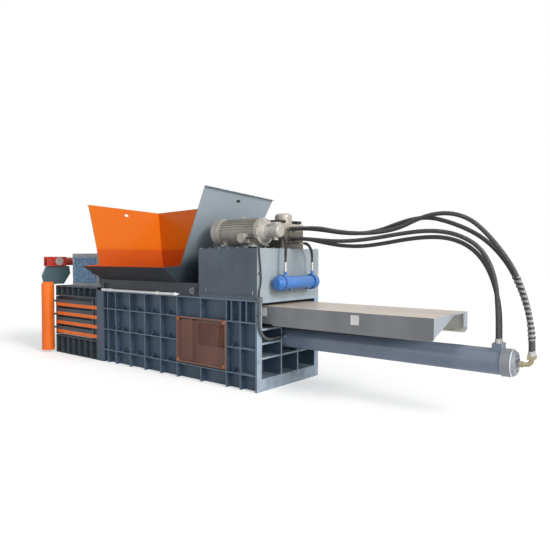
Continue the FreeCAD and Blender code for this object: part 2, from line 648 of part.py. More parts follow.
def oil_tank():
    """Open-topped tank on its foot frame, with a seam ledge, tabs and the cooler's brackets."""
    foot_top = BOX_HEIGHT + TANK_FOOT
    x = (TANK_X, X_REAR)
    y = (-Y_OUT, Y_OUT)
    top = TANK_TOP - LID_SHEET
    parts = [box(x, y, (BOX_HEIGHT, top))]
    ledge = TANK_SHEET
    parts.append(box((x[0] - ledge, x[1]), (y[0] - ledge, y[1] + ledge), (foot_top - 8, foot_top)))
    for tab_x in (x[0] + 140, x[1] - 85):
        for side in (-1, 1):
            span = sorted((side * Y_OUT, side * (Y_OUT + TANK_TAB_REACH)))
            parts.append(box((tab_x, tab_x + TANK_TAB[0]), span, (foot_top, foot_top + TANK_TAB[1])))
    parts += [cooler_saddle(y) for y in SADDLES]
    tank = fuse(parts)
    inside = (x[0] + TANK_SHEET, x[1] - TANK_SHEET)
    wide = (y[0] + TANK_SHEET, y[1] - TANK_SHEET)
    under = box((x[0] + 60, x[1] - 60), (y[0] + 60, y[1] - 60), (BOX_HEIGHT - 1, foot_top - 8))
    return cut(tank, [box(inside, wide, (foot_top, top + 1)), under])


def tank_lid():
    z = (TANK_TOP - LID_SHEET, TANK_TOP)
    lid = box((TANK_X, X_REAR), (-Y_OUT, Y_OUT), z)
    rails = [box((MOTOR_X + 170, MOTOR_X + 640), (MOTOR_Y + s * 140 - 35, MOTOR_Y + s * 140 + 35),
                 (TANK_TOP, TANK_TOP + 30)) for s in (-1, 1)]
    return fuse([lid] + rails)


def filler_breather():
    base = rod((BREATHER_X, BREATHER_Y, TANK_TOP), (BREATHER_X, BREATHER_Y, TANK_TOP + 40), 50)
    cap = rod((BREATHER_X, BREATHER_Y, TANK_TOP + 40), (BREATHER_X, BREATHER_Y, TANK_TOP + 95), 42)
    return fuse([base, cap.makeFillet(10, [cap.Edges[0]])])


def oil_cooler():
    """Tube cooler: shell, two flanged end caps with domed ends and the two hose ports."""
    low = COOLER_Y - COOLER_LENGTH / 2
    high = COOLER_Y + COOLER_LENGTH / 2
    neck = COOLER_CAP
    dome = 30.0
    outline = [Vector(COOLER_X, low, COOLER_Z), Vector(COOLER_X, low, COOLER_Z + COOLER_R * 0.55),
               Vector(COOLER_X, low + dome, COOLER_Z + COOLER_R - 4),
               Vector(COOLER_X, low + neck - 34, COOLER_Z + COOLER_R - 4),
               Vector(COOLER_X, low + neck - 34, COOLER_Z + COOLER_R + 10),
               Vector(COOLER_X, low + neck, COOLER_Z + COOLER_R + 10),
               Vector(COOLER_X, low + neck, COOLER_Z + COOLER_SHELL_R),
               Vector(COOLER_X, COOLER_Y, COOLER_Z + COOLER_SHELL_R), Vector(COOLER_X, COOLER_Y, COOLER_Z)]
    half = Part.Face(Part.makePolygon(outline + outline[:1]))
    shell = half.revolve(Vector(COOLER_X, 0, COOLER_Z), Vector(0, 1, 0), 360)
    other = shell.mirror(Vector(0, COOLER_Y, 0), Vector(0, 1, 0))
    ports = [rod((COOLER_X, y, COOLER_Z), (COOLER_X, y, COOLER_Z + COOLER_R + 50), COOLER_HOSE_R + 6)
             for y in COOLER_PORTS]
    return fuse([shell, other] + ports)


# ---- motor, pump and valves ------------------------------------------------------------
def motor_body():
    """Finned motor housing with end shields, feet and terminal box."""
    x0 = MOTOR_X + COWL_LENGTH
    x1 = MOTOR_X + MOTOR_LENGTH
    parts = [rod((x0, MOTOR_Y, MOTOR_Z), (x1, MOTOR_Y, MOTOR_Z), MOTOR_R)]
    for x in (x0, x1 - 40):
        parts.append(rod((x, MOTOR_Y, MOTOR_Z), (x + 40, MOTOR_Y, MOTOR_Z), MOTOR_R + FIN_HEIGHT))
    fin = box((x0 + 40, x1 - 40), (MOTOR_Y - FIN_THICK / 2, MOTOR_Y + FIN_THICK / 2),
              (MOTOR_Z, MOTOR_Z + MOTOR_R + FIN_HEIGHT))
    for step in range(FIN_COUNT):
        turned = fin.copy()
        turned.rotate(Vector(0, MOTOR_Y, MOTOR_Z), Vector(1, 0, 0), 360.0 * (step + 0.5) / FIN_COUNT)
        parts.append(turned)
    for x in (x0 + 60, x1 - 130):
        parts.append(box((x, x + 70), (MOTOR_Y - 175, MOTOR_Y + 175), (TANK_TOP + 30, TANK_TOP + 50)))
        parts.append(box((x, x + 70), (MOTOR_Y - 120, MOTOR_Y + 120), (TANK_TOP + 30, MOTOR_Z - 60)))
    parts.append(box((TERMINAL_X - 70, TERMINAL_X + 70), (MOTOR_Y - 180, MOTOR_Y - 100),
                     (TERMINAL_Z - 70, TERMINAL_Z + 70)))
    parts.append(rod((TERMINAL_X, MOTOR_Y - 180, TERMINAL_Z), (TERMINAL_X, MOTOR_Y - 250, TERMINAL_Z),
                     TERMINAL_R))
    parts.append(box((TERMINAL_X, TERMINAL_X + TERMINAL_R + 10), (MOTOR_Y - 240, MOTOR_Y - 190),
                     (TERMINAL_Z - 22, TERMINAL_Z + 22)))
    body = fuse(parts)
    hole = rod((x0 - 1, MOTOR_Y, MOTOR_Z), (x1 + 1, MOTOR_Y, MOTOR_Z), SHAFT_R + RUN_FIT)
    return body.cut(hole)


def fan_cowl():
    """Pressed cover over the fan, with a ring of slots in its end."""
    x0 = MOTOR_X
    x1 = MOTOR_X + COWL_LENGTH
    cowl = rod((x0, MOTOR_Y, MOTOR_Z), (x1, MOTOR_Y, MOTOR_Z), COWL_R)
    cowl = cowl.makeFillet(22, [e for e in cowl.Edges if abs(e.BoundBox.XMax - x0) < 0.1])
    tools = [rod((x0 + COWL_SHEET, MOTOR_Y, MOTOR_Z), (x1 + 1, MOTOR_Y, MOTOR_Z), COWL_R - 12)]
    for step in range(COWL_SLOTS):
        slot = box((x0 - 1, x0 + COWL_SHEET + 1), (MOTOR_Y - 9, MOTOR_Y + 9), (MOTOR_Z + 55, MOTOR_Z + 150))
        slot.rotate(Vector(0, MOTOR_Y, MOTOR_Z), Vector(1, 0, 0), 360.0 * step / COWL_SLOTS)
        tools.append(slot)
    return cut(cowl, tools)


def motor_fan():
    x = MOTOR_X + 45
    hub = rod((x, MOTOR_Y, MOTOR_Z), (x + 50, MOTOR_Y, MOTOR_Z), 50)
    parts = [hub]
    for step in range(FAN_BLADES):
        blade = box((x, x + 50), (MOTOR_Y - 4, MOTOR_Y + 4), (MOTOR_Z + 30, MOTOR_Z + FAN_R))
        blade.rotate(Vector(0, MOTOR_Y, MOTOR_Z), Vector(1, 0, 0), 360.0 * step / FAN_BLADES)
        parts.append(blade)
    fan = fuse(parts)
    return fan.cut(rod((x - 1, MOTOR_Y, MOTOR_Z), (x + 51, MOTOR_Y, MOTOR_Z), SHAFT_R))


def motor_shaft():
    """Shaft from the fan to the coupling half inside the bell housing."""
    x1 = MOTOR_X + MOTOR_LENGTH
    shaft = rod((MOTOR_X + 35, MOTOR_Y, MOTOR_Z), (x1 + 70, MOTOR_Y, MOTOR_Z), SHAFT_R)
    return fuse([shaft, rod((x1 + 20, MOTOR_Y, MOTOR_Z), (x1 + 70, MOTOR_Y, MOTOR_Z), 62)])


def bell_housing():
    x1 = BELL_X
    x2 = x1 + BELL_LENGTH
    bell = Part.makeCone(BELL_R + 20, PUMP_R + 15, BELL_LENGTH, Vector(x1, MOTOR_Y, MOTOR_Z),
                         Vector(1, 0, 0))
    flange = rod((x1, MOTOR_Y, MOTOR_Z), (x1 + 18, MOTOR_Y, MOTOR_Z), MOTOR_R + FIN_HEIGHT - 4)
    hollow = rod((x1 - 1, MOTOR_Y, MOTOR_Z), (x2 - 20, MOTOR_Y, MOTOR_Z), 76)
    side = COOLER_HOSE_R + 10
    ear = box((x1, DRAIN[0]), (DRAIN[1] - side, DRAIN[1] + side), (DRAIN[2] - side, DRAIN[2] + side))
    return fuse([bell, flange, ear]).cut(hollow)


def pump():
    """Piston pump on the bell housing, with its port block and hose neck."""
    x = MOTOR_X + MOTOR_LENGTH + BELL_LENGTH
    end = x + PUMP_LENGTH
    parts = [rod((x, MOTOR_Y, MOTOR_Z), (x + 24, MOTOR_Y, MOTOR_Z), PUMP_R + 15)]
    body = rod((x + 24, MOTOR_Y, MOTOR_Z), (end, MOTOR_Y, MOTOR_Z), PUMP_R)
    parts.append(body.makeChamfer(16, [e for e in body.Edges if abs(e.BoundBox.XMin - end) < 0.1]))
    parts.append(box((x + 70, x + 160), (MOTOR_Y - 60, MOTOR_Y + 60), (MOTOR_Z + 40, MOTOR_Z + 118)))
    parts.append(rod((x + 115, MOTOR_Y, MOTOR_Z - 118), (x + 115, MOTOR_Y, MOTOR_Z), 34))
    return fuse(parts)


def valve_block():
    """Main manifold on the lid with its ports towards the tail."""
    x, y = BLOCK_X, BLOCK_Y
    low = TANK_TOP
    block = box((x[0] + 30, x[1]), y, (low, low + BLOCK_HEIGHT))
    parts = [block, box((x[0], x[1]), (y[0] + 30, y[1] - 30), (low, low + 26))]
    top = low + BLOCK_HEIGHT + DOME_HEIGHT
    dome = rod((DOME_X, DOME_Y, low + BLOCK_HEIGHT), (DOME_X, DOME_Y, top), DOME_R)
    parts.append(dome.makeFillet(45, [e for e in dome.Edges if e.BoundBox.ZMin > top - 1]))
    for port in arch_starts():
        parts.append(rod((x[1] - 1, port[1], port[2]), (x[1] + 30, port[1], port[2]), ARCH_HOSE_R + 10))
    pipe_y = RETURN[1] - 40
    parts.append(rod((x[1] - 1, pipe_y, RETURN[2]), (RETURN[0], pipe_y, RETURN[2]), COOLER_HOSE_R))
    side = COOLER_HOSE_R + 7
    parts.append(box((RETURN[0] - side, RETURN[0] + side), (pipe_y - side, RETURN[1]),
                     (RETURN[2] - side, RETURN[2] + side)))
    return fuse(parts)


def solenoid_valves():
    """Directional valves with a coil at each end, in a row beside the dome."""
    top = TANK_TOP + BLOCK_HEIGHT
    valves = []
    for step in range(VALVE_COUNT):
        y = BLOCK_Y[0] + 28 + step * 62 + (DOME_R * 2 if step > 1 else 0)
        body = box((BLOCK_X[0] + 90, BLOCK_X[1] - 60), (y - 24, y + 24), (top, top + 50))
        coil = rod((BLOCK_X[0] + 40, y, top + 28), (BLOCK_X[1] - 10, y, top + 28), 21)
        valves.append(fuse([body, coil]))
    return valves


def return_filter():
    z = TANK_TOP
    parts = [rod((FILTER_X, FILTER_Y, z), (FILTER_X, FILTER_Y, z + 16), FILTER_R + 18),
             rod((FILTER_X, FILTER_Y, z + 16), (FILTER_X, FILTER_Y, z + 300), FILTER_R),
             rod((FILTER_X, FILTER_Y, z + 300), (FILTER_X, FILTER_Y, z + 326), 26),
             rod((FILTER_X, FILTER_Y, z + 60), (BLOCK_X[0], FILTER_Y, z + 60), 22)]
    return fuse(parts)


# ---- main cylinder ---------------------------------------------------------------------
def cylinder_barrel():
    """Barrel with its front flange and gland, the limit switch boss and the tail's top ports."""
    parts = [rod((BARREL_X, 0, CYL_Z), (CYL_TAIL_X, 0, CYL_Z), CYL_R)]
    parts.append(rod((BARREL_X, 0, CYL_Z), (BARREL_X + CYL_FLANGE, 0, CYL_Z), CYL_FLANGE_R))
    parts.append(rod((BARREL_X - 40, 0, CYL_Z), (BARREL_X, 0, CYL_Z), CYL_R - 12))
    parts.append(rod(SWITCH_PORT, (SWITCH_PORT[0], 0, SWITCH_PORT[2]), CONDUIT_R + 8))
    parts.append(box((TOP_PORT_X - TOP_PORT_HALF, TOP_PORT_X + TOP_PORT_HALF),
                     (-TWIN_STEP - 45, TWIN_STEP + 45), (CYL_Z, CYL_Z + CYL_R + TOP_PORT_HEIGHT)))
    barrel = fuse(parts)
    bore = rod((BARREL_X - 40 + GLAND_LENGTH, 0, CYL_Z), (CYL_TAIL_X + 1, 0, CYL_Z), CYL_BORE_R)
    neck = rod((BARREL_X - 41, 0, CYL_Z), (CYL_TAIL_X, 0, CYL_Z), ROD_R + RUN_FIT)
    return cut(barrel, [bore, neck])


def tail_cap():
    """Welded end of the cylinder: plug in the bore, thicker band, weld ring and domed face."""
    start = CYL_TAIL_X
    band = start + TAIL_LENGTH
    parts = [rod((start - TAIL_PLUG, 0, CYL_Z), (start, 0, CYL_Z), CYL_BORE_R - HAND_GAP)]
    body = rod((start, 0, CYL_Z), (band, 0, CYL_Z), TAIL_R)
    parts.append(body.makeChamfer(5, body.Edges[0:1]))
    parts.append(Part.makeCone(TAIL_R - 8, TAIL_R - 26, 34, Vector(band, 0, CYL_Z), Vector(1, 0, 0)))
    parts.append(rod((band + 34, 0, CYL_Z), (band + 60, 0, CYL_Z), 36))
    return fuse(parts)


def tail_elbow():
    """Steel pipe elbow from the tail port, up to the block that carries both hoses."""
    start = Vector(CYL_TAIL_X + TAIL_LENGTH + 60, 0, CYL_Z)
    radius = 60.0
    corner = Vector(ELBOW_X, 0, CYL_Z)
    line = Part.LineSegment(start, corner - Vector(radius, 0, 0)).toShape()
    slant = radius * math.sqrt(0.5)
    middle = corner + Vector(slant - radius, 0, radius - slant)
    bend = Part.Arc(corner - Vector(radius, 0, 0), middle, corner + Vector(0, 0, radius)).toShape()
    path = Part.Wire([line, bend])
    circle = Part.Wire(Part.makeCircle(24, start, Vector(1, 0, 0)))
    pipe = path.makePipeShell([circle], True, True)
    block = box((ELBOW_X - 32, ELBOW_X + 32), (-TWIN_STEP - 32, TWIN_STEP + 32),
                (CYL_Z + radius, ELBOW_TOP - FERRULE))
    nut = rod((start.x, 0, CYL_Z), (start.x + 30, 0, CYL_Z), 34)
    return fuse([pipe, block, nut])


# ---- ram -------------------------------------------------------------------------------
def ram_body():
    """Welded ram box with webs, open at the back round the rod, grooved in front for the wires."""
    low = FLOOR_TOP + SHOE_HEIGHT
    body = box((RAM_FRONT_X, RAM_BACK_X), (-RAM_HALF, RAM_HALF), (low, DECK_TOP))
    tools = []
    web = RAM_SHEET
    inner_x = (RAM_FRONT_X + 2.5 * RAM_SHEET, RAM_BACK_X + 1)
    inner_z = (low + RAM_SHEET, DECK_TOP - RAM_SHEET)
    for side in (-1, 1):
        tools.append(box(inner_x, sorted((side * (DIVIDER_Y + web / 2), side * (RAM_HALF - web))), inner_z))
    tools.append(box(inner_x, (-DIVIDER_Y + web / 2, DIVIDER_Y - web / 2), inner_z))
    for step in range(RAM_GROOVES):
        z = BAR_LOW_Z - BAR_HEIGHT / 2 - SLOT_HEIGHT / 2 + step * BAR_PITCH
        tools.append(box((RAM_FRONT_X - 1, RAM_FRONT_X + RAM_GROOVE[1]), (-RAM_HALF - 1, RAM_HALF + 1),
                         (z - RAM_GROOVE[0] / 2, z + RAM_GROOVE[0] / 2)))
    tools.append(box((RAM_FRONT_X - 1, RAM_FRONT_X + KNIFE_DEPTH), (-RAM_HALF - 1, RAM_HALF + 1),
                     (DECK_TOP - KNIFE_HEIGHT, DECK_TOP + 1)))
    return cut(body, tools)


def ram_knife():
    z = (DECK_TOP - KNIFE_HEIGHT, DECK_TOP)
    knife = box((RAM_FRONT_X, RAM_FRONT_X + KNIFE_DEPTH), (-RAM_HALF, RAM_HALF), z)
    bolts = []
    for step in range(-3, 4):
        x = RAM_FRONT_X + KNIFE_DEPTH / 2
        bolts.append(rod((x, step * 160, z[1] - 6), (x, step * 160, z[1] + 1), 11))
    return cut(knife, bolts)


def ram_shoes():
    """Wear strips under the ram, along its travel."""
    z = (FLOOR_TOP + HAND_GAP, FLOOR_TOP + SHOE_HEIGHT)
    centres = (-RAM_HALF + SHOE_WIDTH / 2, 0, RAM_HALF - SHOE_WIDTH / 2)
    return [box((RAM_FRONT_X, RAM_BACK_X), (y - SHOE_WIDTH / 2, y + SHOE_WIDTH / 2), z) for y in centres]


def follower_plate():
    """Deck that closes the mouth behind the ram: plate, skirts, cross members and end gusset."""
    half = DECK_WIDTH / 2
    under = DECK_TOP - DECK_SHEET
    parts = [box((RAM_BACK_X, DECK_END_X), (-half, half), (under, DECK_TOP))]
    for side in (-1, 1):
        span = sorted((side * half, side * (half - SKIRT_SHEET)))
        parts.append(box((RAM_BACK_X, DECK_END_X), span, (SKIRT_BOTTOM, under)))
    count = 4
    for step in range(1, count + 1):
        x = RAM_BACK_X + (DECK_END_X - RAM_BACK_X) * step / (count + 1)
        parts.append(box((x, x + 14), (-half, half), (under - 90, under)))
    corner = [(DECK_END_X, -half, SKIRT_BOTTOM + 8), (DECK_END_X, -half, under),
              (DECK_END_X, -half + DECK_GUSSET_LEG, under)]
    parts.append(prism(corner, (-12, 0, 0)))
    edge = [corner[0], corner[2], (DECK_END_X, corner[2][1] - 14, under),
            (DECK_END_X, -half, SKIRT_BOTTOM + 14)]
    parts.append(prism(edge, (-DECK_GUSSET_FLANGE, 0, 0)))
    parts.append(box((DECK_END_X - 12, DECK_END_X), (half - 110, half), (SKIRT_BOTTOM + 50, under)))
    return fuse(parts)


def piston_rod():
    """Rod with its piston and the flange that bolts to the ram's front web."""
    web = RAM_FRONT_X + 2.5 * RAM_SHEET
    parts = [rod((web, 0, CYL_Z), (PISTON_X, 0, CYL_Z), ROD_R),
             rod((PISTON_X, 0, CYL_Z), (PISTON_X + PISTON_LENGTH, 0, CYL_Z), CYL_BORE_R - RUN_FIT),
             rod((web, 0, CYL_Z), (web + 45, 0, CYL_Z), 150)]
    return fuse(parts)


# ---- outlet ----------------------------------------------------------------------------
def ribbed_beam(z):
    """Side beam of the outlet, near side: web, two flanges and upright ribs."""
    x = (X_OUTLET, X_THROAT)
    parts = [box(x, (-ARM_IN - 40, -ARM_IN), z)]
    for low in (z[0], z[1] - 22):
        parts.append(box(x, (-Y_OUT, -ARM_IN), (low, low + 22)))
    ribs = 7
    for step in range(ribs + 1):
        at = x[0] + (x[1] - x[0] - RIB_THICK) * step / ribs
        parts.append(box((at, at + RIB_THICK), (-Y_OUT, -ARM_IN), z))
    return fuse(parts)


def exit_base():
    """Floor of the outlet with cross beams and a ribbed beam along each side."""
    x = (X_OUTLET, X_THROAT)
    parts = [box(x, (-ARM_IN, ARM_IN), (FLOOR_TOP - FLOOR_PLATE, FLOOR_TOP))]
    for share in (0.0, 0.46, 0.92):
        at = x[0] + OUTLET_LENGTH * share
        parts.append(box((at, at + CROSS_BEAM * 0.9), (-ARM_IN, ARM_IN), (0, FLOOR_TOP - FLOOR_PLATE)))
    beam = ribbed_beam((0, SILL_TOP))
    return fuse(parts + [beam, mirrored(beam)])


def exit_top():
    """Top plate of the outlet, its cross members and a ribbed beam along each side."""
    x = (X_OUTLET, X_THROAT)
    plate_z = (BOX_HEIGHT - ROOF_PLATE - 30, BOX_HEIGHT - ROOF_PLATE)
    parts = [box(x, (-ARM_IN, ARM_IN), plate_z)]
    for at in (X_OUTLET, COVER_X[0] + 20, COVER_X[1] - 100):
        parts.append(box((at, at + 80), (-ARM_IN, ARM_IN), (plate_z[1], HEADER_Z[1])))
    beam = ribbed_beam(HEADER_Z)
    return fuse(parts + [beam, mirrored(beam)])


def arm_wall():
    """Near wall of the outlet: inner plate with stiffening beams, end plates and hinge knuckle."""
    x = (X_OUTLET, X_THROAT - 2 * HINGE_INSET)
    z = (SILL_TOP + ARM_GAP, HEADER_Z[0] - ARM_GAP)
    y = (-Y_OUT, -ARM_IN)
    parts = [box((x[0], x[0] + 40), y, z), box((x[1] - 40, x[1]), y, z)]
    parts.append(box(x, (y[1] - ARM_PLATE, y[1]), z))
    for step in range(BAR_COUNT):
        low = BAR_LOW_Z + step * BAR_PITCH - BAR_HEIGHT / 2
        beam_top = low + BAR_PITCH - SLOT_HEIGHT
        parts.append(box(x, (y[0] + BAR_THICK, y[1]), (low, beam_top)))
        parts.append(box(x, y, (low + BAR_HEIGHT, beam_top)))
    parts.append(rod((HINGE_X, -HINGE_Y, z[0]), (HINGE_X, -HINGE_Y, z[1]), KNUCKLE_R))
    parts.append(box((x[1] - 5, HINGE_X), (-HINGE_Y - 25, -HINGE_Y + 25), z))
    for level in (0.15, 0.5, 0.85):
        at = z[0] + (z[1] - z[0]) * level
        outline = [(X_OUTLET, -Y_OUT + 5, at), (X_OUTLET, -ARM_IN, at), (POST_X, -POST_Y + 40, at),
                   (POST_X, -POST_Y - 40, at)]
        parts.append(prism(outline, (0, 0, 30)))
    wall = fuse(parts)
    tools = [rod((HINGE_X, -HINGE_Y, z[0] - 1), (HINGE_X, -HINGE_Y, z[1] + 1), HINGE_R + RUN_FIT),
             rod((POST_X, -POST_Y, z[0] - 1), (POST_X, -POST_Y, z[1] + 1), POST_R)]
    return cut(wall, tools)


def arm_bars():
    """The four painted bars of the near outlet wall, between its end plates."""
    x = (X_OUTLET + 40, X_THROAT - 2 * HINGE_INSET - 40)
    bars = []
    for step in range(BAR_COUNT):
        low = BAR_LOW_Z + step * BAR_PITCH - BAR_HEIGHT / 2
        bars.append(box(x, (-Y_OUT, -Y_OUT + BAR_THICK), (low, low + BAR_HEIGHT)))
    return bars


def hinge_pins():
    pins = []
    for side in (-1, 1):
        y = side * HINGE_Y
        pins.append(rod((HINGE_X, y, SILL_TOP), (HINGE_X, y, HEADER_Z[0]), HINGE_R))
    return pins


def round_post():
    """Round post on the outer end of the near outlet wall, with a tapered top."""
    height, taper = POST_CONE
    shoulder = POST_Z[1] - height
    tube = rod((POST_X, -POST_Y, POST_Z[0]), (POST_X, -POST_Y, shoulder), POST_R)
    top = Part.makeCone(POST_R, POST_R - taper, height, Vector(POST_X, -POST_Y, shoulder))
    return fuse([tube, top])


def flat_ball(y, radius, half):
    """Ball with two flat sides, turned about its pin, for a fork or as the hollow of its race."""
    edge = math.sqrt(radius ** 2 - half ** 2)
    left, right = POST_X - half, POST_X + half
    corners = [Vector(right, y, PULL_Z + edge), Vector(right, y, PULL_Z), Vector(left, y, PULL_Z),
               Vector(left, y, PULL_Z + edge)]
    crown = Part.Arc(corners[3], Vector(POST_X, y, PULL_Z + radius), corners[0]).toShape()
    lines = [Part.makeLine(a, b) for a, b in zip(corners[:-1], corners[1:])]
    return Part.Face(Part.Wire([crown] + lines)).revolve(Vector(POST_X, y, PULL_Z), Vector(1, 0, 0), 360)


def pull_head():
    """Plate on the near post's top, with the eye that the clamping cylinder pulls on."""
    x = POST_X - HEAD_THICK / 2
    y = -POST_Y
    top = PULL_Z - PULL_R - 15
    foot = POST_Z[1]
    outline = [(x, y - 75, foot), (x, y - 105, foot + 110), (x, y - 25, top), (x, y + 420, top),
               (x, y + 440, foot + 150), (x, y + 310, foot - 45), (x, y + 125, foot - 45),
               (x, y + 125, foot)]
    eye_r = BALL_R + 34
    parts = [prism(outline, (HEAD_THICK, 0, 0)),
             rod((x, -PULL_Y, PULL_Z), (x + HEAD_THICK, -PULL_Y, PULL_Z), eye_r),
             box((x, x + HEAD_THICK), (-PULL_Y - eye_r, -PULL_Y + eye_r), (top - 5, PULL_Z))]
    return fuse(parts).cut(flat_ball(-PULL_Y, BALL_R + HAND_GAP, HEAD_THICK / 2))


def fork(y, way):
    """Two-armed end of the clamping cylinder round a head's eye, with its pin and ball."""
    inner = HEAD_THICK / 2 + FORK_GAP
    outer = inner + FORK_SHEET
    cheek = (PULL_Z - PULL_CHEEK, PULL_Z + PULL_CHEEK)
    parts = []
    for side in (-1, 1):
        x = sorted((POST_X + side * inner, POST_X + side * outer))
        parts.append(rod((x[0], y, PULL_Z), (x[1], y, PULL_Z), PULL_R))
        parts.append(box(x, sorted((y - way * PULL_TAIL, y + way * PULL_FORK)), cheek))
        tip = POST_X + side * (outer + 16)
        parts.append(rod((POST_X, y, PULL_Z), (tip, y, PULL_Z), PULL_PIN_R))
        parts.append(rod((POST_X + side * outer, y, PULL_Z), (tip, y, PULL_Z), PULL_CAP_R))
    root = sorted((y + way * (PULL_FORK - 40), y + way * PULL_FORK))
    parts.append(box((POST_X - outer, POST_X + outer), root, cheek))
    parts.append(flat_ball(y, BALL_R, HEAD_THICK / 2))
    return parts


def tension_barrel():
    start = -PULL_Y + PULL_FORK
    end = PULL_Y - PULL_FORK - PULL_GAP
    parts = fork(-PULL_Y, 1)
    parts.append(rod((POST_X, start, PULL_Z), (POST_X, end, PULL_Z), PULL_R))
    barrel = fuse(parts)
    bore = rod((POST_X, start + 40, PULL_Z), (POST_X, end - 40, PULL_Z), PULL_BORE_R)
    neck = rod((POST_X, start + 40, PULL_Z), (POST_X, end + 1, PULL_Z), PULL_ROD_R + RUN_FIT)
    return cut(barrel, [bore, neck])


def tension_rod():
    piston = PULL_PISTON_Y
    parts = fork(PULL_Y, -1)
    parts.append(rod((POST_X, piston, PULL_Z), (POST_X, PULL_Y - PULL_FORK, PULL_Z), PULL_ROD_R))
    parts.append(rod((POST_X, piston, PULL_Z), (POST_X, piston + 60, PULL_Z), PULL_BORE_R - RUN_FIT))
    return fuse(parts)


def valve_cover():
    """Sheet cover over the outlet's valves, open underneath."""
    z = (HEADER_Z[1], HEADER_Z[1] + COVER_HEIGHT)
    cover = box(COVER_X, COVER_Y, z)
    upright = [e for e in cover.Edges if e.BoundBox.ZLength > COVER_HEIGHT - 1]
    cover = cover.makeFillet(30, upright)
    sheet = COVER_SHEET
    inside = box((COVER_X[0] + sheet, COVER_X[1] - sheet), (COVER_Y[0] + sheet, COVER_Y[1] - sheet),
                 (z[0] - 1, z[1] - sheet))
    corners = [e for e in inside.Edges if e.BoundBox.ZLength > COVER_HEIGHT - 2 * sheet]
    return cover.cut(inside.makeFillet(30 - sheet, corners))


# ---- hoses and cables ------------------------------------------------------------------
def arch_starts():
    """Where the four long hoses leave the manifold: two low, two high."""
    return [(BLOCK_X[1] + 30, BLOCK_Y[0] + y, TANK_TOP + z) for y, z in
            ((150.0, 280.0), (260.0, 280.0), (170.0, 140.0), (280.0, 140.0))]


COOLER_TOP = COOLER_Z + COOLER_R + 50 + FERRULE_LENGTH
HOSE_FOOT = CYL_Z + CYL_R + TOP_PORT_HEIGHT + FERRULE
COOLER_ROUTE_1 = [(DRAIN[0] + SHORT_FERRULE, DRAIN[1], DRAIN[2]), (1808, DRAIN[1], DRAIN[2]),
                  (1885, -244, 2027), (COOLER_X, -256, 1950), (COOLER_X + 2, -265, 1868),
                  (COOLER_X, COOLER_PORTS[0], 1785), (COOLER_X, COOLER_PORTS[0], COOLER_TOP)]
COOLER_ROUTE_2 = [(RETURN[0], RETURN[1] + FERRULE, RETURN[2]), (RETURN[0], 211, RETURN[2]),
                  (COOLER_X, 299, 1906), (COOLER_X, COOLER_PORTS[1], 1818),
                  (COOLER_X, COOLER_PORTS[1], COOLER_TOP)]
CABLE_ROUTE = [(TERMINAL_X + TERMINAL_R + 10, MOTOR_Y - 215, TERMINAL_Z), (1625, -615, TERMINAL_Z),
               (1710, -640, 2010), (1785, -672, 1975), (1820, -688, 1905), (1822, -680, 1800),
               (1820, -652, 1630), (1820, -640, 1480), (1820, -654, 1390), (1822, -685, 1320),
               (1822, -685, JUNCTION_Z[1])]
CONDUIT_ROUTE = [(CONDUIT_X, CONDUIT_Y, JUNCTION_Z[0]), (CONDUIT_X, CONDUIT_Y, 1075),
                 (CONDUIT_X, CONDUIT_Y - 2, 960), (CONDUIT_X, CONDUIT_Y, 841), (CONDUIT_X, -626, 739),
                 (CONDUIT_X, -524, 682), (CONDUIT_X, -410, 678), (SWITCH_PORT[0], -300, SWITCH_PORT[2]),
                 SWITCH_PORT]
ARCH_ROUTE_1 = [(1770, 40, 2160), (1960, 40, 2160), (2260, 24, 2154), (2560, 8, 2094),
                (2870, -4, 2060), (3180, -10, 2064), (3440, -6, 2110), (3650, 0, 2205),
                (3860, 6, 2262), (4080, 8, 2256), (4280, 4, 2175), (4440, 0, 2030),
                (4590, -6, 1850), (4730, -22, 1650), (4838, -34, 1400), (4900, -36, 1150),
                (4917, -36, 920), (4917, -36, ELBOW_TOP)]
ARCH_ROUTE_2 = [(1770, 150, 2160), (1960, 150, 2160), (2260, 134, 2126), (2560, 112, 2078),
                (2860, 92, 2062), (3130, 78, 2092), (3350, 70, 2160), (3560, 66, 2215),
                (3780, 64, 2228), (3990, 64, 2170), (4190, 62, 2090), (4370, 60, 1990),
                (4530, 56, 1850), (4680, 46, 1660), (4800, 38, 1410), (4880, 36, 1150),
                (4917, 36, 920), (4917, 36, ELBOW_TOP)]
ARCH_ROUTE_3 = [(1770, 60, 2020), (1960, 60, 2020), (2260, 40, 1992), (2560, 16, 1968),
                (2870, -4, 1972), (3180, -24, 2002), (3480, -44, 2042), (3760, -58, 2066),
                (4000, -62, 2052), (4210, -58, 1990), (4380, -50, 1880), (4490, -42, 1720),
                (4560, -36, 1500), (4583, -37, 1250), (4590, -36, 1030), (4590, -36, HOSE_FOOT)]
ARCH_ROUTE_4 = [(1770, 170, 2020), (1960, 170, 2020), (2260, 146, 1958), (2560, 116, 1912),
                (2870, 92, 1898), (3180, 72, 1930), (3480, 58, 1975), (3740, 50, 1998),
                (3970, 46, 1990), (4170, 44, 1930), (4330, 42, 1820), (4450, 40, 1660),
                (4530, 37, 1460), (4580, 36, 1230), (4590, 36, 1030), (4590, 36, HOSE_FOOT)]


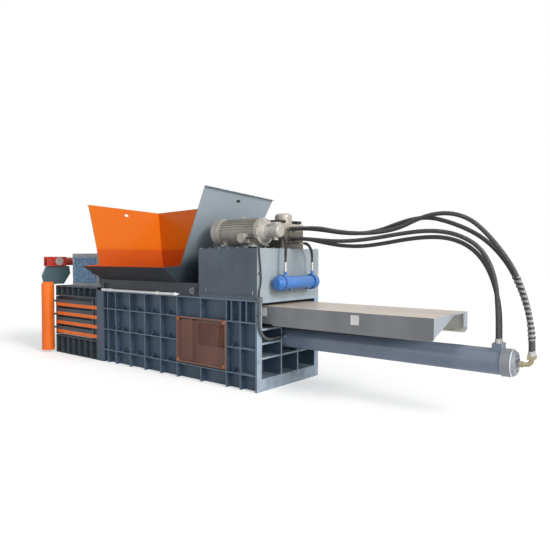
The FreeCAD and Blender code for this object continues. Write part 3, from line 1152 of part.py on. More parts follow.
def route_wire(points):
    """Straight runs joined by tangent arcs, each as large as its two runs allow."""
    nodes = [Vector(*p) for p in points]
    edges = []
    last = nodes[0]
    radii = []
    for before, corner, after in zip(nodes[:-2], nodes[1:-1], nodes[2:]):
        into = (corner - before).normalize()
        out = (after - corner).normalize()
        turn = into.getAngle(out)
        run = min((corner - before).Length, (after - corner).Length)
        set_back = 0.45 * run
        radii.append(set_back / math.tan(turn / 2))
        start = corner - into * set_back
        end = corner + out * set_back
        inner = (out - into).normalize()
        middle = (start + end) * 0.5 - inner * (radii[-1] * (1 - math.cos(turn / 2)))
        edges += [Part.LineSegment(last, start).toShape(), Part.Arc(start, middle, end).toShape()]
        last = end
    edges.append(Part.LineSegment(last, nodes[-1]).toShape())
    return Part.Wire(edges), radii


def hose(name, points, radius):
    """A round hose along its route; prints its tightest bend and checks its volume."""
    path, radii = route_wire(points)
    start = Vector(*points[0])
    profile = Part.Wire(Part.makeCircle(radius, start, Vector(*points[1]) - start))
    solid = path.makePipeShell([profile], True, True)
    share = solid.Volume / (math.pi * radius ** 2 * path.Length)
    print(name, "length", round(path.Length), "radii", [round(r) for r in radii],
          "volume over section times length", round(share, 4))
    return solid


def ferrule(point, way, radius, length):
    """Crimped end sleeve with its nut, from a port along a direction."""
    nut = length * 0.3
    return fuse([Part.makeCylinder(radius, length, Vector(*point), Vector(*way)),
                 Part.makeCylinder(radius * 1.2, nut, Vector(*point), Vector(*way))])


def hose_ferrules():
    """End sleeves of all hoses; the manifold's ports carry their own."""
    top = COOLER_Z + COOLER_R + 50
    thin = COOLER_HOSE_R + 3
    pieces = [ferrule((COOLER_X, y, top), (0, 0, 1), thin, FERRULE_LENGTH) for y in COOLER_PORTS]
    pieces.append(ferrule(DRAIN, (1, 0, 0), thin, SHORT_FERRULE))
    pieces.append(ferrule(RETURN, (0, 1, 0), thin, FERRULE))
    for x, top in ((ELBOW_X, ELBOW_TOP), (TOP_PORT_X, HOSE_FOOT)):
        for y in (-TWIN_STEP, TWIN_STEP):
            pieces.append(ferrule((x, y, top - FERRULE), (0, 0, 1), ARCH_HOSE_R + 4, FERRULE))
    return pieces


def strap(x, y, z, radius):
    """Ring round a cable with a foot on the machine's rear face."""
    half = 12.0
    inner = radius + CLIP_GAP
    hoop = ring((x, y, z - half), (x, y, z + half), inner + 4, inner)
    foot = box((X_REAR, X_REAR + 4), (y - inner - 24, y + inner + 24), (z - half, z + half))
    neck = box((X_REAR, x - inner), (y - 10, y + 10), (z - half, z + half))
    return fuse([hoop, foot, neck])


def cable_clips():
    """Junction block between cable and conduit, and the straps that hold each to the rear face."""
    block = box((X_REAR, CONDUIT_X + CONDUIT_R + 8), (CONDUIT_Y - 30, CONDUIT_Y + 30), JUNCTION_Z)
    cable = strap(CONDUIT_X - 10, CONDUIT_Y + CABLE_CLIP[0], BOX_HEIGHT + CABLE_CLIP[1], CABLE_R)
    return [block, cable, strap(CONDUIT_X, CONDUIT_Y - 1, BOX_HEIGHT - CONDUIT_CLIP, CONDUIT_R)]


def build():
    os.makedirs("parts", exist_ok=True)
    save("base_frame", [base_frame()])
    save("near_side_wall", [side_wall(True)])
    save("far_side_wall", [mirrored(side_wall(False))])
    save("rear_frame", [rear_frame()])
    save("roof_plates", roof_plates())
    save("fixed_knife", [fixed_knife()])
    save("hopper_base", [hopper_base()])
    save("hopper_left_wall", [hopper_side(left_x, HOPPER_LEFT_NEAR_TOP, HOPPER_LEFT_FAR_TOP, -1)])
    save("hopper_right_wall", [hopper_side(right_x, HOPPER_RIGHT_NEAR_TOP, HOPPER_RIGHT_FAR_TOP, 1)])
    save("hopper_back_wall", [hopper_back()])
    save("hopper_front_flap", [hopper_flap()])
    save("bright_pipe", [bright_pipe()])
    save("guard_panel", [guard_panel()])
    save("guard_knobs", guard_knobs())
    save("oil_tank", [oil_tank()])
    save("tank_lid", [tank_lid()])
    save("filler_breather", [filler_breather()])
    save("oil_cooler", [oil_cooler()])
    save("motor_body", [motor_body()])
    save("fan_cowl", [fan_cowl()])
    save("motor_fan", [motor_fan()])
    save("motor_shaft", [motor_shaft()])
    save("bell_housing", [bell_housing()])
    save("pump", [pump()])
    save("valve_block", [valve_block()])
    save("solenoid_valves", solenoid_valves())
    save("return_filter", [return_filter()])
    save("cylinder_barrel", [cylinder_barrel()])
    save("tail_cap", [tail_cap()])
    save("tail_elbow", [tail_elbow()])
    save("ram_body", [ram_body()])
    save("ram_knife", [ram_knife()])
    save("ram_shoes", ram_shoes())
    save("follower_plate", [follower_plate()])
    save("piston_rod", [piston_rod()])
    save("exit_base", [exit_base()])
    save("exit_top", [exit_top()])
    save("near_arm_wall", [arm_wall()])
    save("far_arm_wall", [mirrored(arm_wall())])
    save("near_bars", arm_bars())
    save("far_bars", [mirrored(bar) for bar in arm_bars()])
    save("hinge_pins", hinge_pins())
    save("near_post", [round_post()])
    save("far_post", [mirrored(round_post())])
    save("near_head", [pull_head()])
    save("far_head", [mirrored(pull_head())])
    save("tension_barrel", [tension_barrel()])
    save("tension_rod", [tension_rod()])
    save("valve_cover", [valve_cover()])
    save("cooler_hose_1", [hose("cooler_hose_1", COOLER_ROUTE_1, COOLER_HOSE_R)])
    save("cooler_hose_2", [hose("cooler_hose_2", COOLER_ROUTE_2, COOLER_HOSE_R)])
    save("arch_hose_1", [hose("arch_hose_1", ARCH_ROUTE_1, ARCH_HOSE_R)])
    save("arch_hose_2", [hose("arch_hose_2", ARCH_ROUTE_2, ARCH_HOSE_R)])
    save("arch_hose_3", [hose("arch_hose_3", ARCH_ROUTE_3, ARCH_HOSE_R)])
    save("arch_hose_4", [hose("arch_hose_4", ARCH_ROUTE_4, ARCH_HOSE_R)])
    save("motor_cable", [hose("motor_cable", CABLE_ROUTE, CABLE_R)])
    save("conduit", [hose("conduit", CONDUIT_ROUTE, CONDUIT_R)])
    save("hose_ferrules", hose_ferrules())
    save("cable_clips", cable_clips())


build()
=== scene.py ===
import json
import logging
import math
from dataclasses import dataclass, field
from enum import Enum
from functools import lru_cache
from typing import Any, Callable, Dict, List, Optional, Sequence, Tuple, Union

import bmesh
import bpy
from mathutils import Matrix, Quaternion, Vector

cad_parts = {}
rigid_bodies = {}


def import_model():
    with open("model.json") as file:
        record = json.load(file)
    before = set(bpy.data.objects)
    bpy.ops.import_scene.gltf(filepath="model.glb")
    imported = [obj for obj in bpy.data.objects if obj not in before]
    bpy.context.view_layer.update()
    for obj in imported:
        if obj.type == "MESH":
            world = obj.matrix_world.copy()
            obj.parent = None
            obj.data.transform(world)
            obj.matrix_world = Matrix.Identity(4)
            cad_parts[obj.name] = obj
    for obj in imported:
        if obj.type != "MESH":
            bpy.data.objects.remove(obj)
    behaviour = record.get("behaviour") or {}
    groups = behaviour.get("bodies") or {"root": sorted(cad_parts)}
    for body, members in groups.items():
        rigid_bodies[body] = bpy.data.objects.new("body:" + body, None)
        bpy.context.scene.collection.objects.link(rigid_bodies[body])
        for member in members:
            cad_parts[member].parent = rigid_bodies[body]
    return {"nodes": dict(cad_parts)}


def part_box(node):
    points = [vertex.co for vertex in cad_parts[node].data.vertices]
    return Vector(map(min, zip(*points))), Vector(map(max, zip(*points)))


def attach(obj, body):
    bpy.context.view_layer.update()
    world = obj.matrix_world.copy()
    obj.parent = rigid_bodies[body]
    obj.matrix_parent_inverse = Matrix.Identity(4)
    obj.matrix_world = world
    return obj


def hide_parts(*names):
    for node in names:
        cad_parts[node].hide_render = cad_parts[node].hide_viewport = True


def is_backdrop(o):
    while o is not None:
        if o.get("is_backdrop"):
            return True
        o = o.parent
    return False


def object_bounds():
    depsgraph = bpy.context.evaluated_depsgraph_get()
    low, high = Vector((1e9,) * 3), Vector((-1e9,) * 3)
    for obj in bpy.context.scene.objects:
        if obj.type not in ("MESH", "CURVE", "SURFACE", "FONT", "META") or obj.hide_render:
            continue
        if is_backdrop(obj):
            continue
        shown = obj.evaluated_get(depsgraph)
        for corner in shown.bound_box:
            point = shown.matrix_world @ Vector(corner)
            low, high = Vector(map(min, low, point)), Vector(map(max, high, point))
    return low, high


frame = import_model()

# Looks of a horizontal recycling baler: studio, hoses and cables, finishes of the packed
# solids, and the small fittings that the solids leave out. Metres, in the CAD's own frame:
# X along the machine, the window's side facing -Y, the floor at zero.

LOG = logging.getLogger("baler")
MACHINE = "machine"
MM = 0.001
TURNED_SIDES = 32
CURVE_STEPS = 10
HOSE_ROUNDNESS = 6
FLAP_TONE = (0.028, 0.030, 0.036)

Color = Tuple[float, float, float]
Point = Tuple[float, float, float]
Place = Tuple[Point, "Way"]
Profile = Tuple[Tuple[float, float], ...]
Key = Union[str, int]
Sockets = Dict[Key, Any]
Number = Union["Sock", float]


class Way(Enum):
    """Which way a face or a small fitting looks."""

    UP = (0.0, 0.0, 1.0)
    TAIL = (1.0, 0.0, 0.0)
    OUTLET = (-1.0, 0.0, 0.0)
    NEAR = (0.0, -1.0, 0.0)
    FAR = (0.0, 1.0, 0.0)
    OFF_FLAP = (0.0, 0.54, 0.84)
    OFF_RIGHT_WALL = (-0.9081, 0.0, 0.4187)


class Lay(Enum):
    """How a hose or cable lies."""

    LOOSE = "loose"
    HANGING = "hanging"


class Stiffness(Enum):
    """How much a hose or cable resists bending."""

    MEDIUM = "medium"
    STIFF = "stiff"


# ---- node trees written from Python ----------------------------------------------------
def maths(operation: str, swapped: bool = False) -> Callable[..., "Sock"]:
    """Makes an operator that adds a Math node.

    Args:
        operation: Blender's name for the operation.
        swapped: whether the socket comes last, as in 1 - mask.

    Returns:
        The operator, for the class of sockets.
    """
    def operator(sock: "Sock", *others: Number) -> "Sock":
        """Adds the node."""
        values = (*others, sock) if swapped else (sock, *others)
        return sock.tree.math(operation, *values)

    return operator


class Sock:
    """One output of a node. Arithmetic on it adds Math nodes; a comparison gives 1 or 0."""

    def __init__(self, tree: "Wired", socket: bpy.types.NodeSocket) -> None:
        """Keeps the tree and its socket."""
        self.tree = tree
        self.socket = socket

    __add__ = __radd__ = maths("ADD")
    __sub__ = maths("SUBTRACT")
    __rsub__ = maths("SUBTRACT", swapped=True)
    __mul__ = __rmul__ = maths("MULTIPLY")
    __truediv__ = maths("DIVIDE")
    __gt__ = maths("GREATER_THAN")
    __lt__ = maths("LESS_THAN")
    __abs__ = maths("ABSOLUTE")


class Wired:
    """A node tree with one method that adds any node."""

    def __init__(self, tree: bpy.types.NodeTree) -> None:
        """Keeps the Blender tree, emptied."""
        self.tree = tree
        tree.nodes.clear()

    def node(self, kind: str, sockets: Optional[Sockets] = None,
             **settings: Any) -> bpy.types.Node:
        """Adds a node: its settings first, then the values or links of its sockets.

        Args:
            kind: Blender's name for the node type.
            sockets: value or Sock for each input, by name or index.
            settings: attributes of the node, such as a Math node's operation.

        Returns:
            The new node.
        """
        made = self.tree.nodes.new(kind)
        for name, value in settings.items():
            setattr(made, name, value)
        for key, value in (sockets or {}).items():
            target = made.inputs[key]
            if isinstance(value, Sock):
                self.tree.links.new(value.socket, target)
            elif target.type == "RGBA" and len(value) == 3:
                target.default_value = (*value, 1.0)
            else:
                target.default_value = value
        return made

    def out(self, kind: str, sockets: Optional[Sockets] = None, output: Key = 0,
            **settings: Any) -> Sock:
        """Adds a node and returns one of its outputs, by name or index."""
        return Sock(self, self.node(kind, sockets, **settings).outputs[output])

    def math(self, operation: str, *values: Number) -> Sock:
        """Adds a Math node on one or two values."""
        return self.out("ShaderNodeMath", dict(enumerate(values)), operation=operation)


class Surface(Wired):
    """The shader tree of one finish, read in the machine's own frame."""

    def __init__(self, name: str) -> None:
        """Starts a material and reads its place and direction.

        Args:
            name: the material's name.
        """
        self.material = bpy.data.materials.new(name)
        self.material.use_nodes = True
        super().__init__(self.material.node_tree)
        coordinates = self.node("ShaderNodeTexCoord")
        self.place = Sock(self, coordinates.outputs["Object"])
        self.facing = Sock(self, coordinates.outputs["Normal"])
        split = self.node("ShaderNodeSeparateXYZ", {0: self.place})
        self.along, self.across, self.up = (Sock(self, output) for output in split.outputs)

    def noise(self, scale: float, detail: float, stretch: Point = (1.0, 1.0, 1.0)) -> Sock:
        """Cloudy pattern from 0 to 1: features per metre, octaves, scale along each axis."""
        placed = self.out("ShaderNodeMapping", {"Vector": self.place, "Scale": stretch})
        return self.out("ShaderNodeTexNoise", {"Vector": placed, "Scale": scale, "Detail": detail})

    def ramp(self, value: Sock, low: float, high: float) -> Sock:
        """Smooth step from 0 at low to 1 at high."""
        return self.out("ShaderNodeMapRange", {"Value": value, "From Min": low, "From Max": high},
                        interpolation_type="SMOOTHSTEP")

    def mix(self, factor: Number, first: Any, second: Any) -> Sock:
        """Colour blend from first to second."""
        return self.out("ShaderNodeMix", {0: factor, 6: first, 7: second}, 2, data_type="RGBA")

    def turned_to(self, way: Way, low: float = 0.45, high: float = 0.55) -> Sock:
        """Finds the faces that look one way.

        Args:
            way: the direction.
            low: cosine at which the mask leaves 0.
            high: cosine at which it reaches 1.

        Returns:
            The mask.
        """
        dot = self.out("ShaderNodeVectorMath", {0: self.facing, 1: way.value}, "Value",
                       operation="DOT_PRODUCT")
        return self.ramp(dot, low, high)

    def close(self, color: Any, roughness: Number, height: Sock, depth: float,
              **constants: float) -> bpy.types.Material:
        """Ends the tree in one principled shader.

        Args:
            color: base colour, linked or plain.
            roughness: linked or plain.
            height: relief, from 0 to 1.
            depth: what that relief measures, in metres.
            constants: values of the shader's other sockets.

        Returns:
            The material.
        """
        bump = self.out("ShaderNodeBump", {"Height": height, "Distance": depth, "Strength": 1.0})
        sockets: Sockets = {"Base Color": color, "Roughness": roughness, "Normal": bump}
        sockets.update({name.replace("_", " "): value for name, value in constants.items()})
        self.node("ShaderNodeOutputMaterial",
                  {"Surface": self.out("ShaderNodeBsdfPrincipled", sockets)})
        return self.material


# ---- finishes --------------------------------------------------------------------------
@dataclass(frozen=True)
class Finish:
    """A finish's name and the CAD nodes that wear it."""

    name: str
    nodes: Tuple[str, ...]

    def material(self) -> bpy.types.Material:
        """Builds the finish's material."""
        raise NotImplementedError


@dataclass(frozen=True)
class Paint(Finish):
    """Sprayed workshop paint: cloudy tone, orange peel, dust low down, fine scratches."""

    color: Color
    roughness: float = 0.38
    shade: float = 0.78
    dust: Color = (0.30, 0.28, 0.25)
    dust_share: float = 0.25
    dust_line: Tuple[float, float] = (0.12, 0.62)
    scratch: Color = (0.42, 0.44, 0.46)
    scratch_share: float = 0.35
    metallic: float = 0.0
    relief: float = 0.00055
    sheen: float = 0.5

    def tint(self, surface: Surface, body: Sock) -> Sock:
        """Hook for what one finish adds to the plain paint's colour."""
        return body

    def material(self) -> bpy.types.Material:
        """Builds the paint's material.

        Returns:
            The material.
        """
        surface = Surface(self.name)
        cloud = surface.noise(2.1, 5.0)
        grain = surface.noise(95.0, 2.0)
        runs = surface.noise(5.0, 3.0, (1.0, 1.0, 0.14))
        darker = tuple(self.shade * part for part in self.color)
        body = surface.mix(surface.ramp(cloud * 0.65 + runs * 0.35, 0.36, 0.66), self.color, darker)
        body = self.tint(surface, body)
        low = 1.0 - surface.ramp(surface.up + cloud * 0.35, *self.dust_line)
        speck = surface.ramp(surface.noise(26.0, 6.0), 0.46, 0.72)
        settled = surface.turned_to(Way.UP) * 0.5 + low * 0.7 + 0.16
        body = surface.mix(settled * speck * self.dust_share, body, self.dust)
        marks = surface.ramp(surface.noise(9.0, 7.0, (7.0, 7.0, 1.0)), 0.665, 0.70)
        chips = surface.ramp(surface.noise(33.0, 3.0), 0.71, 0.735)
        worn = (marks * 0.5 + chips * surface.ramp(cloud, 0.45, 0.6)) * self.scratch_share
        body = surface.mix(worn, body, self.scratch)
        rough = self.roughness + (cloud - 0.5) * 0.16 + speck * 0.10 + worn * 0.15
        relief = grain * 0.5 + surface.noise(420.0, 1.0) * 0.35 - worn * 0.6
        return surface.close(body, rough, relief, self.relief, Metallic=self.metallic,
                             Specular_IOR_Level=self.sheen)


@dataclass(frozen=True)
class FramePaint(Paint):
    """Blue-grey frame paint, with painted highlights on the press box's cut edges and its rear end,
    and painted light behind the guard.
    """

    # Painted highlight colour for the rib edges and the gusset slopes.
    edge: Color = (0.135, 0.195, 0.262)
    # Painted light on the faces that look to the tail and on the rear shelves.
    rear: Color = (0.33, 0.40, 0.475)
    rib_plane: float = 0.699
    rear_plane: float = 1.774
    shelf_front: float = 1.40
    front: float = -1.6
    top: float = 1.199
    # Painted light in the shaded bay behind the guard, reddened as if lit through the mesh.
    guard_bay_light: Color = (0.23, 0.18, 0.17)
    guarded_x: Tuple[float, float] = (0.26, 1.24)
    guarded_z: Tuple[float, float] = (0.24, 0.90)

    def tint(self, surface: Surface, body: Sock) -> Sock:
        """Paints highlights on the ribs' edges, the gussets' slopes, the rear end and its shelves,
        and paints light into the guarded bay.

        Args:
            surface: the paint's tree.
            body: the plain paint's colour.

        Returns:
            The colour with its painted highlights and painted light.
        """
        box = (surface.along > self.front) * (surface.up < self.top)
        slope = surface.turned_to(Way.UP, 0.28, 0.32) - surface.turned_to(Way.UP, 0.92, 0.95)
        edges = surface.math("MAXIMUM", abs(surface.across) > self.rib_plane, slope)
        # Patchy strength of the painted highlights, not wear.
        patchy_highlight = surface.ramp(surface.noise(7.0, 4.0), 0.25, 0.6) * 0.35 + 0.6
        body = surface.mix(edges * box * patchy_highlight, body, self.edge)
        # Painted light: tail-facing faces at the rear and upward shelves inside the rear cells.
        rear = (surface.along > self.rear_plane) * surface.turned_to(Way.TAIL)
        shelves = (surface.along > self.shelf_front) * surface.turned_to(Way.UP, 0.96, 0.98)
        body = surface.mix((rear + shelves * box) * patchy_highlight, body, self.rear)
        # Mask of the bay behind the guard, where light is painted in.
        guard_bay_light = (surface.across < 0.0) * surface.turned_to(Way.NEAR)
        for place, (low, high) in ((surface.along, self.guarded_x), (surface.up, self.guarded_z)):
            guard_bay_light = guard_bay_light * (place > low) * (place < high)
        return surface.mix(guard_bay_light, body, self.guard_bay_light)


@dataclass(frozen=True)
class HopperPaint(Paint):
    """Hopper sheet: orange on the faces that look into the hopper, grey outside."""

    color: Color = (0.145, 0.178, 0.200)
    roughness: float = 0.34
    dust_share: float = 0.12
    scratch_share: float = 0.2
    sheen: float = 0.25
    inward: Way = Way.TAIL
    inside: Color = (0.62, 0.130, 0.002)
    # Painted shade on the inner face under the bend.
    inside_painted_shade: Color = (0.50, 0.066, 0.004)
    # Painted highlight on the outer face upwards, and painted shade on it low down.
    outside_painted_highlight: Color = (0.31, 0.36, 0.40)
    outside_painted_shade: Color = (0.145, 0.178, 0.200)
    bend: float = 1.9
    painted_shade_fade: Tuple[float, float] = (1.58, 1.86)
    painted_highlight_fade: Tuple[float, float] = (1.7, 2.6)
    limit: float = 0.5
    blend: float = 0.05

    def tint(self, surface: Surface, body: Sock) -> Sock:
        """Orange inside with painted shade under the bend; grey outside with painted shade low down
        and a painted highlight upwards.

        Args:
            surface: the paint's tree.
            body: the plain paint's colour.

        Returns:
            Orange where the face's cosine to the inward way passes the limit.
        """
        up = surface.up
        # Mask under the bend, where shade is painted on the inner face.
        low = 1.0 - surface.ramp(up, self.bend - self.blend, self.bend + self.blend)
        orange = surface.mix(low * 0.8 + surface.noise(3.0, 4.0) * 0.2, self.inside,
                             self.inside_painted_shade)
        # Painted shade low on the outer face, then a painted highlight towards the top.
        grey = surface.mix(surface.ramp(up, *self.painted_shade_fade), self.outside_painted_shade, body)
        grey = surface.mix(surface.ramp(up, *self.painted_highlight_fade), grey, self.outside_painted_highlight)
        inner = surface.turned_to(self.inward, self.limit - self.blend, self.limit + self.blend)
        return surface.mix(inner, grey, orange)


@dataclass(frozen=True)
class CollarPaint(Paint):
    """Dark collar paint, rubbed paler on the lifting lugs that stand out from its sides."""

    lug: Color = (0.150, 0.160, 0.172)
    side: float = 0.702

    def tint(self, surface: Surface, body: Sock) -> Sock:
        """Pales what reaches past the collar's sides."""
        return surface.mix(abs(surface.across) > self.side, body, self.lug)


@dataclass(frozen=True)
class DeckPaint(Paint):
    """Grey skirts under a deck top that the ram's travel has polished pale; painted light on the
    end and on the skirts' insides.
    """

    top: Color = (0.67, 0.56, 0.46)
    top_worn: Color = (0.58, 0.50, 0.43)
    # Painted light on the faces that look to the tail.
    end: Color = (0.33, 0.36, 0.40)
    # Painted light on the skirts' shaded insides.
    inner: Color = (0.92, 0.90, 0.84)

    def tint(self, surface: Surface, body: Sock) -> Sock:
        """Pale worn top, streaked along the travel; painted light on the end and on the skirts'
        shaded insides.

        Args:
            surface: the paint's tree.
            body: the plain paint's colour.

        Returns:
            The colour of skirts, end and top.
        """
        streak = surface.noise(6.0, 5.0, (0.12, 2.2, 1.0))
        top = surface.mix(surface.ramp(streak, 0.35, 0.7), self.top, self.top_worn)
        # Painted light on the tail-facing end, then on the skirts' shaded insides.
        body = surface.mix(surface.turned_to(Way.TAIL), body, self.end)
        inner = surface.turned_to(Way.NEAR) * (surface.across > 0.0)
        body = surface.mix(inner, body, self.inner)
        return surface.mix(surface.turned_to(Way.UP), body, top)


@dataclass(frozen=True)
class TankPaint(Paint):
    """Tank paint, with a painted highlight and painted reflection streaks on the end that faces the
    tail.
    """

    # Painted highlight and painted reflection streaks on the tail-facing end.
    end: Color = (0.25, 0.295, 0.325)
    end_reflection_streak: Color = (0.36, 0.41, 0.44)

    def tint(self, surface: Surface, body: Sock) -> Sock:
        """Upright streaks of painted reflection on the end face.

        Args:
            surface: the paint's tree.
            body: the plain paint's colour.

        Returns:
            The colour with its painted highlight on the end.
        """
        # Upright streaks of painted reflection.
        streak = surface.ramp(surface.noise(4.5, 4.0, (1.0, 1.0, 0.05)), 0.3, 0.7)
        pale = surface.mix(streak * 0.6, self.end, self.end_reflection_streak)
        return surface.mix(surface.turned_to(Way.TAIL), body, pale)


@dataclass(frozen=True)
class BlockPaint(Paint):
    """Manifold finish, pale on the dome that stands above the lid."""

    dome: Color = (0.40, 0.37, 0.33)
    dome_foot: float = 2.10
    dome_shoulder: float = 2.20

    def tint(self, surface: Surface, body: Sock) -> Sock:
        """Pales upwards from the dome's foot."""
        high = surface.ramp(surface.up, self.dome_foot, self.dome_shoulder)
        return surface.mix(high, body, self.dome)


@dataclass(frozen=True)
class Steel(Finish):
    """Bare or plated metal with machining marks and dull patches."""

    color: Color
    roughness: float
    stretch: Point = (1.0, 14.0, 14.0)
    tarnish: Color = (0.30, 0.28, 0.25)
    tarnish_share: float = 0.3
    relief: float = 0.00025

    def material(self) -> bpy.types.Material:
        """Builds the metal's material.

        Returns:
            The material.
        """
        surface = Surface(self.name)
        brushed = surface.noise(38.0, 5.0, self.stretch)
        patch = surface.ramp(surface.noise(7.0, 6.0), 0.42, 0.72)
        body = surface.mix(patch * self.tarnish_share, self.color, self.tarnish)
        body = surface.mix(brushed * 0.25, body, tuple(0.7 * part for part in self.color))
        rough = self.roughness + brushed * 0.16 + patch * 0.18
        relief = brushed * 0.6 + surface.noise(160.0, 2.0) * 0.4
        return surface.close(body, rough, relief, self.relief, Metallic=1.0)


@dataclass(frozen=True)
class Rubber(Finish):
    """Hose cover or cable sheath: matt, dusty on top, fine pressed texture."""

    color: Color = (0.020, 0.020, 0.021)
    dust: Color = (0.17, 0.165, 0.155)
    dust_share: float = 0.4
    roughness: float = 0.52
    stripe: Optional[Color] = None
    stripe_pitch: float = 0.05
    relief: float = 0.0004

    def material(self) -> bpy.types.Material:
        """Builds the rubber's material.

        Returns:
            The material.
        """
        surface = Surface(self.name)
        grit = surface.ramp(surface.noise(45.0, 6.0), 0.40, 0.75)
        top = surface.turned_to(Way.UP, -0.1, 0.9) * 0.7 + 0.25
        body = surface.mix(grit * top * self.dust_share, self.color, self.dust)
        if self.stripe:
            wave = surface.math("SINE", surface.up * (2 * math.pi / self.stripe_pitch))
            body = surface.mix(surface.ramp(wave, -0.1, 0.1), body, self.stripe)
        weave = surface.noise(700.0, 1.0) * 0.6 + surface.noise(130.0, 2.0) * 0.4
        return surface.close(body, self.roughness + grit * 0.22, weave, self.relief, IOR=1.48)


class Coat(Enum):
    """Every finish of the machine, with the CAD nodes that wear it."""

    FRAME = FramePaint(
        "frame_grey",
        ("base_frame", "near_side_wall", "far_side_wall", "rear_frame", "roof_plates"),
        (0.060, 0.095, 0.144), 0.36, dust_share=0.12)
    OUTLET = Paint("outlet_dark", ("exit_base", "exit_top", "near_arm_wall", "far_arm_wall"),
                   (0.048, 0.065, 0.083), 0.42, dust_share=0.15)
    COLLAR = CollarPaint("collar_dark", ("hopper_base",), (0.028, 0.036, 0.050), 0.40,
                         dust_share=0.12)
    LEFT_SHEET = HopperPaint("sheet_left_wall", ("hopper_left_wall",))
    # The right wall's outer face gets painted shade low down, beside the tank.
    RIGHT_SHEET = HopperPaint("sheet_right_wall", ("hopper_right_wall",), inward=Way.OUTLET,
                              outside_painted_shade=(0.036, 0.049, 0.061))
    BACK_SHEET = HopperPaint("sheet_back_wall", ("hopper_back_wall",), inward=Way.NEAR)
    FLAP_SHEET = HopperPaint("sheet_front_flap", ("hopper_front_flap",), FLAP_TONE, 0.40,
                             inward=Way.OFF_FLAP, outside_painted_highlight=FLAP_TONE, outside_painted_shade=FLAP_TONE,
                             limit=-0.6, dust_share=0.1)
    TANK = TankPaint("tank_grey", ("oil_tank", "tank_lid"), (0.088, 0.114, 0.148), 0.33,
                     dust_share=0.15)
    DECK = DeckPaint("deck_grey", ("follower_plate",), (0.240, 0.249, 0.264), 0.36,
                     dust_share=0.2)
    # Dark base colour is painted shade inside the press box; the scratches are wear.
    RAM = Paint("ram_worn_painted_shade", ("ram_body",), (0.045, 0.045, 0.05), 0.42, scratch_share=0.9,
                dust_share=0.2)
    ORANGE = Paint("bar_orange", ("near_bars", "far_bars", "near_post", "far_post"),
                   (0.93, 0.168, 0.004), 0.36, shade=0.85, scratch=(0.45, 0.20, 0.10),
                   scratch_share=0.2, dust_share=0.12)
    GUARD = Paint("guard_brown", (), (0.24, 0.112, 0.080), 0.5)
    WIRE = Paint("guard_wire", (), (0.32, 0.137, 0.092), 0.55)
    KNOB = Paint("knob_orange", ("guard_knobs",), (0.40, 0.155, 0.06), 0.45)
    BARREL = Paint("barrel_grey", ("cylinder_barrel",), (0.210, 0.260, 0.350), 0.17, shade=0.85,
                   relief=0.00008, dust_share=0.06, scratch_share=0.03, sheen=0.7)
    TAIL = Paint("tail_grey", ("tail_cap",), (0.32, 0.35, 0.39), 0.24, relief=0.0001,
                 dust_share=0.08)
    MOTOR = Paint("motor_silver", ("motor_body", "fan_cowl", "bell_housing", "pump"),
                  (0.47, 0.445, 0.41), 0.40, shade=0.68, metallic=0.2, dust=(0.30, 0.25, 0.19),
                  dust_share=0.7)
    BLOCK = BlockPaint("block_brown", ("valve_block",), (0.13, 0.12, 0.10), 0.36, metallic=0.3)
    CLIP = Paint("clip_grey", ("cable_clips",), (0.13, 0.14, 0.155))
    COIL = Paint("coil_black", ("solenoid_valves", "filler_breather", "return_filter"),
                 (0.030, 0.030, 0.032), 0.42)
    COOLER = Paint("cooler_blue", ("oil_cooler",), (0.040, 0.190, 0.56), 0.18, shade=0.8,
                   scratch_share=0.05, dust_share=0.05, relief=0.00006, sheen=0.8)
    HEAD = Paint("head_slate", ("near_head", "far_head"), (0.070, 0.125, 0.145), 0.40)
    PULL = Paint("pull_red", ("tension_barrel", "tension_rod"), (0.50, 0.040, 0.026), 0.33)
    CABINET = Paint("cabinet_grey", ("valve_cover",), (0.31, 0.345, 0.375), 0.36,
                    dust_share=0.15)
    DOOR = Paint("door_blue", (), (0.060, 0.165, 0.32), 0.34, dust=(0.34, 0.44, 0.56),
                 dust_share=4.0)
    PLATE = Paint("bare_plate", (), (0.90, 0.90, 0.88), 0.4, dust_share=0.1, scratch_share=0.1)
    BRIGHT = Paint("bright_tube", ("bright_pipe",), (0.86, 0.86, 0.88), 0.22, shade=0.93,
                   dust_share=0.05, scratch_share=0.1, metallic=0.1, relief=0.0002)
    MACHINED = Steel("machined_steel",
                     ("hinge_pins", "hose_ferrules", "motor_shaft", "piston_rod"),
                     (0.62, 0.61, 0.58), 0.26)
    ZINC = Steel("zinc_yellow", ("tail_elbow",), (0.54, 0.47, 0.31), 0.32, tarnish_share=0.4)
    BLADE = Steel("knife_steel", ("fixed_knife", "ram_knife", "ram_shoes"),
                  (0.52, 0.52, 0.53), 0.30, (1.0, 1.0, 10.0))
    BOLT = Steel("bolt_zinc", (), (0.40, 0.41, 0.43), 0.40, (6.0, 6.0, 6.0))
    RUBBER = Rubber("hose_rubber", ())
    ARCH = Rubber("arch_rubber", (), (0.050, 0.051, 0.053), (0.30, 0.30, 0.29), 0.5)
    SLEEVE = Rubber("hose_sleeve", (), (0.030, 0.030, 0.032), (0.30, 0.30, 0.30), 0.3, 0.40,
                    stripe=(0.34, 0.34, 0.33))
    SHEATH = Rubber("cable_sheath", (), (0.026, 0.026, 0.028), roughness=0.42, dust_share=0.2)
    RIBBED = Rubber("conduit_grey", (), (0.075, 0.078, 0.084), (0.36, 0.37, 0.38), 0.45, 0.38)
    PLASTIC = Rubber("fan_plastic", ("motor_fan",), (0.035, 0.036, 0.038), roughness=0.35)


@lru_cache(maxsize=None)
def material(coat: Coat) -> bpy.types.Material:
    """The coat's material, made on first use."""
    return coat.value.material()


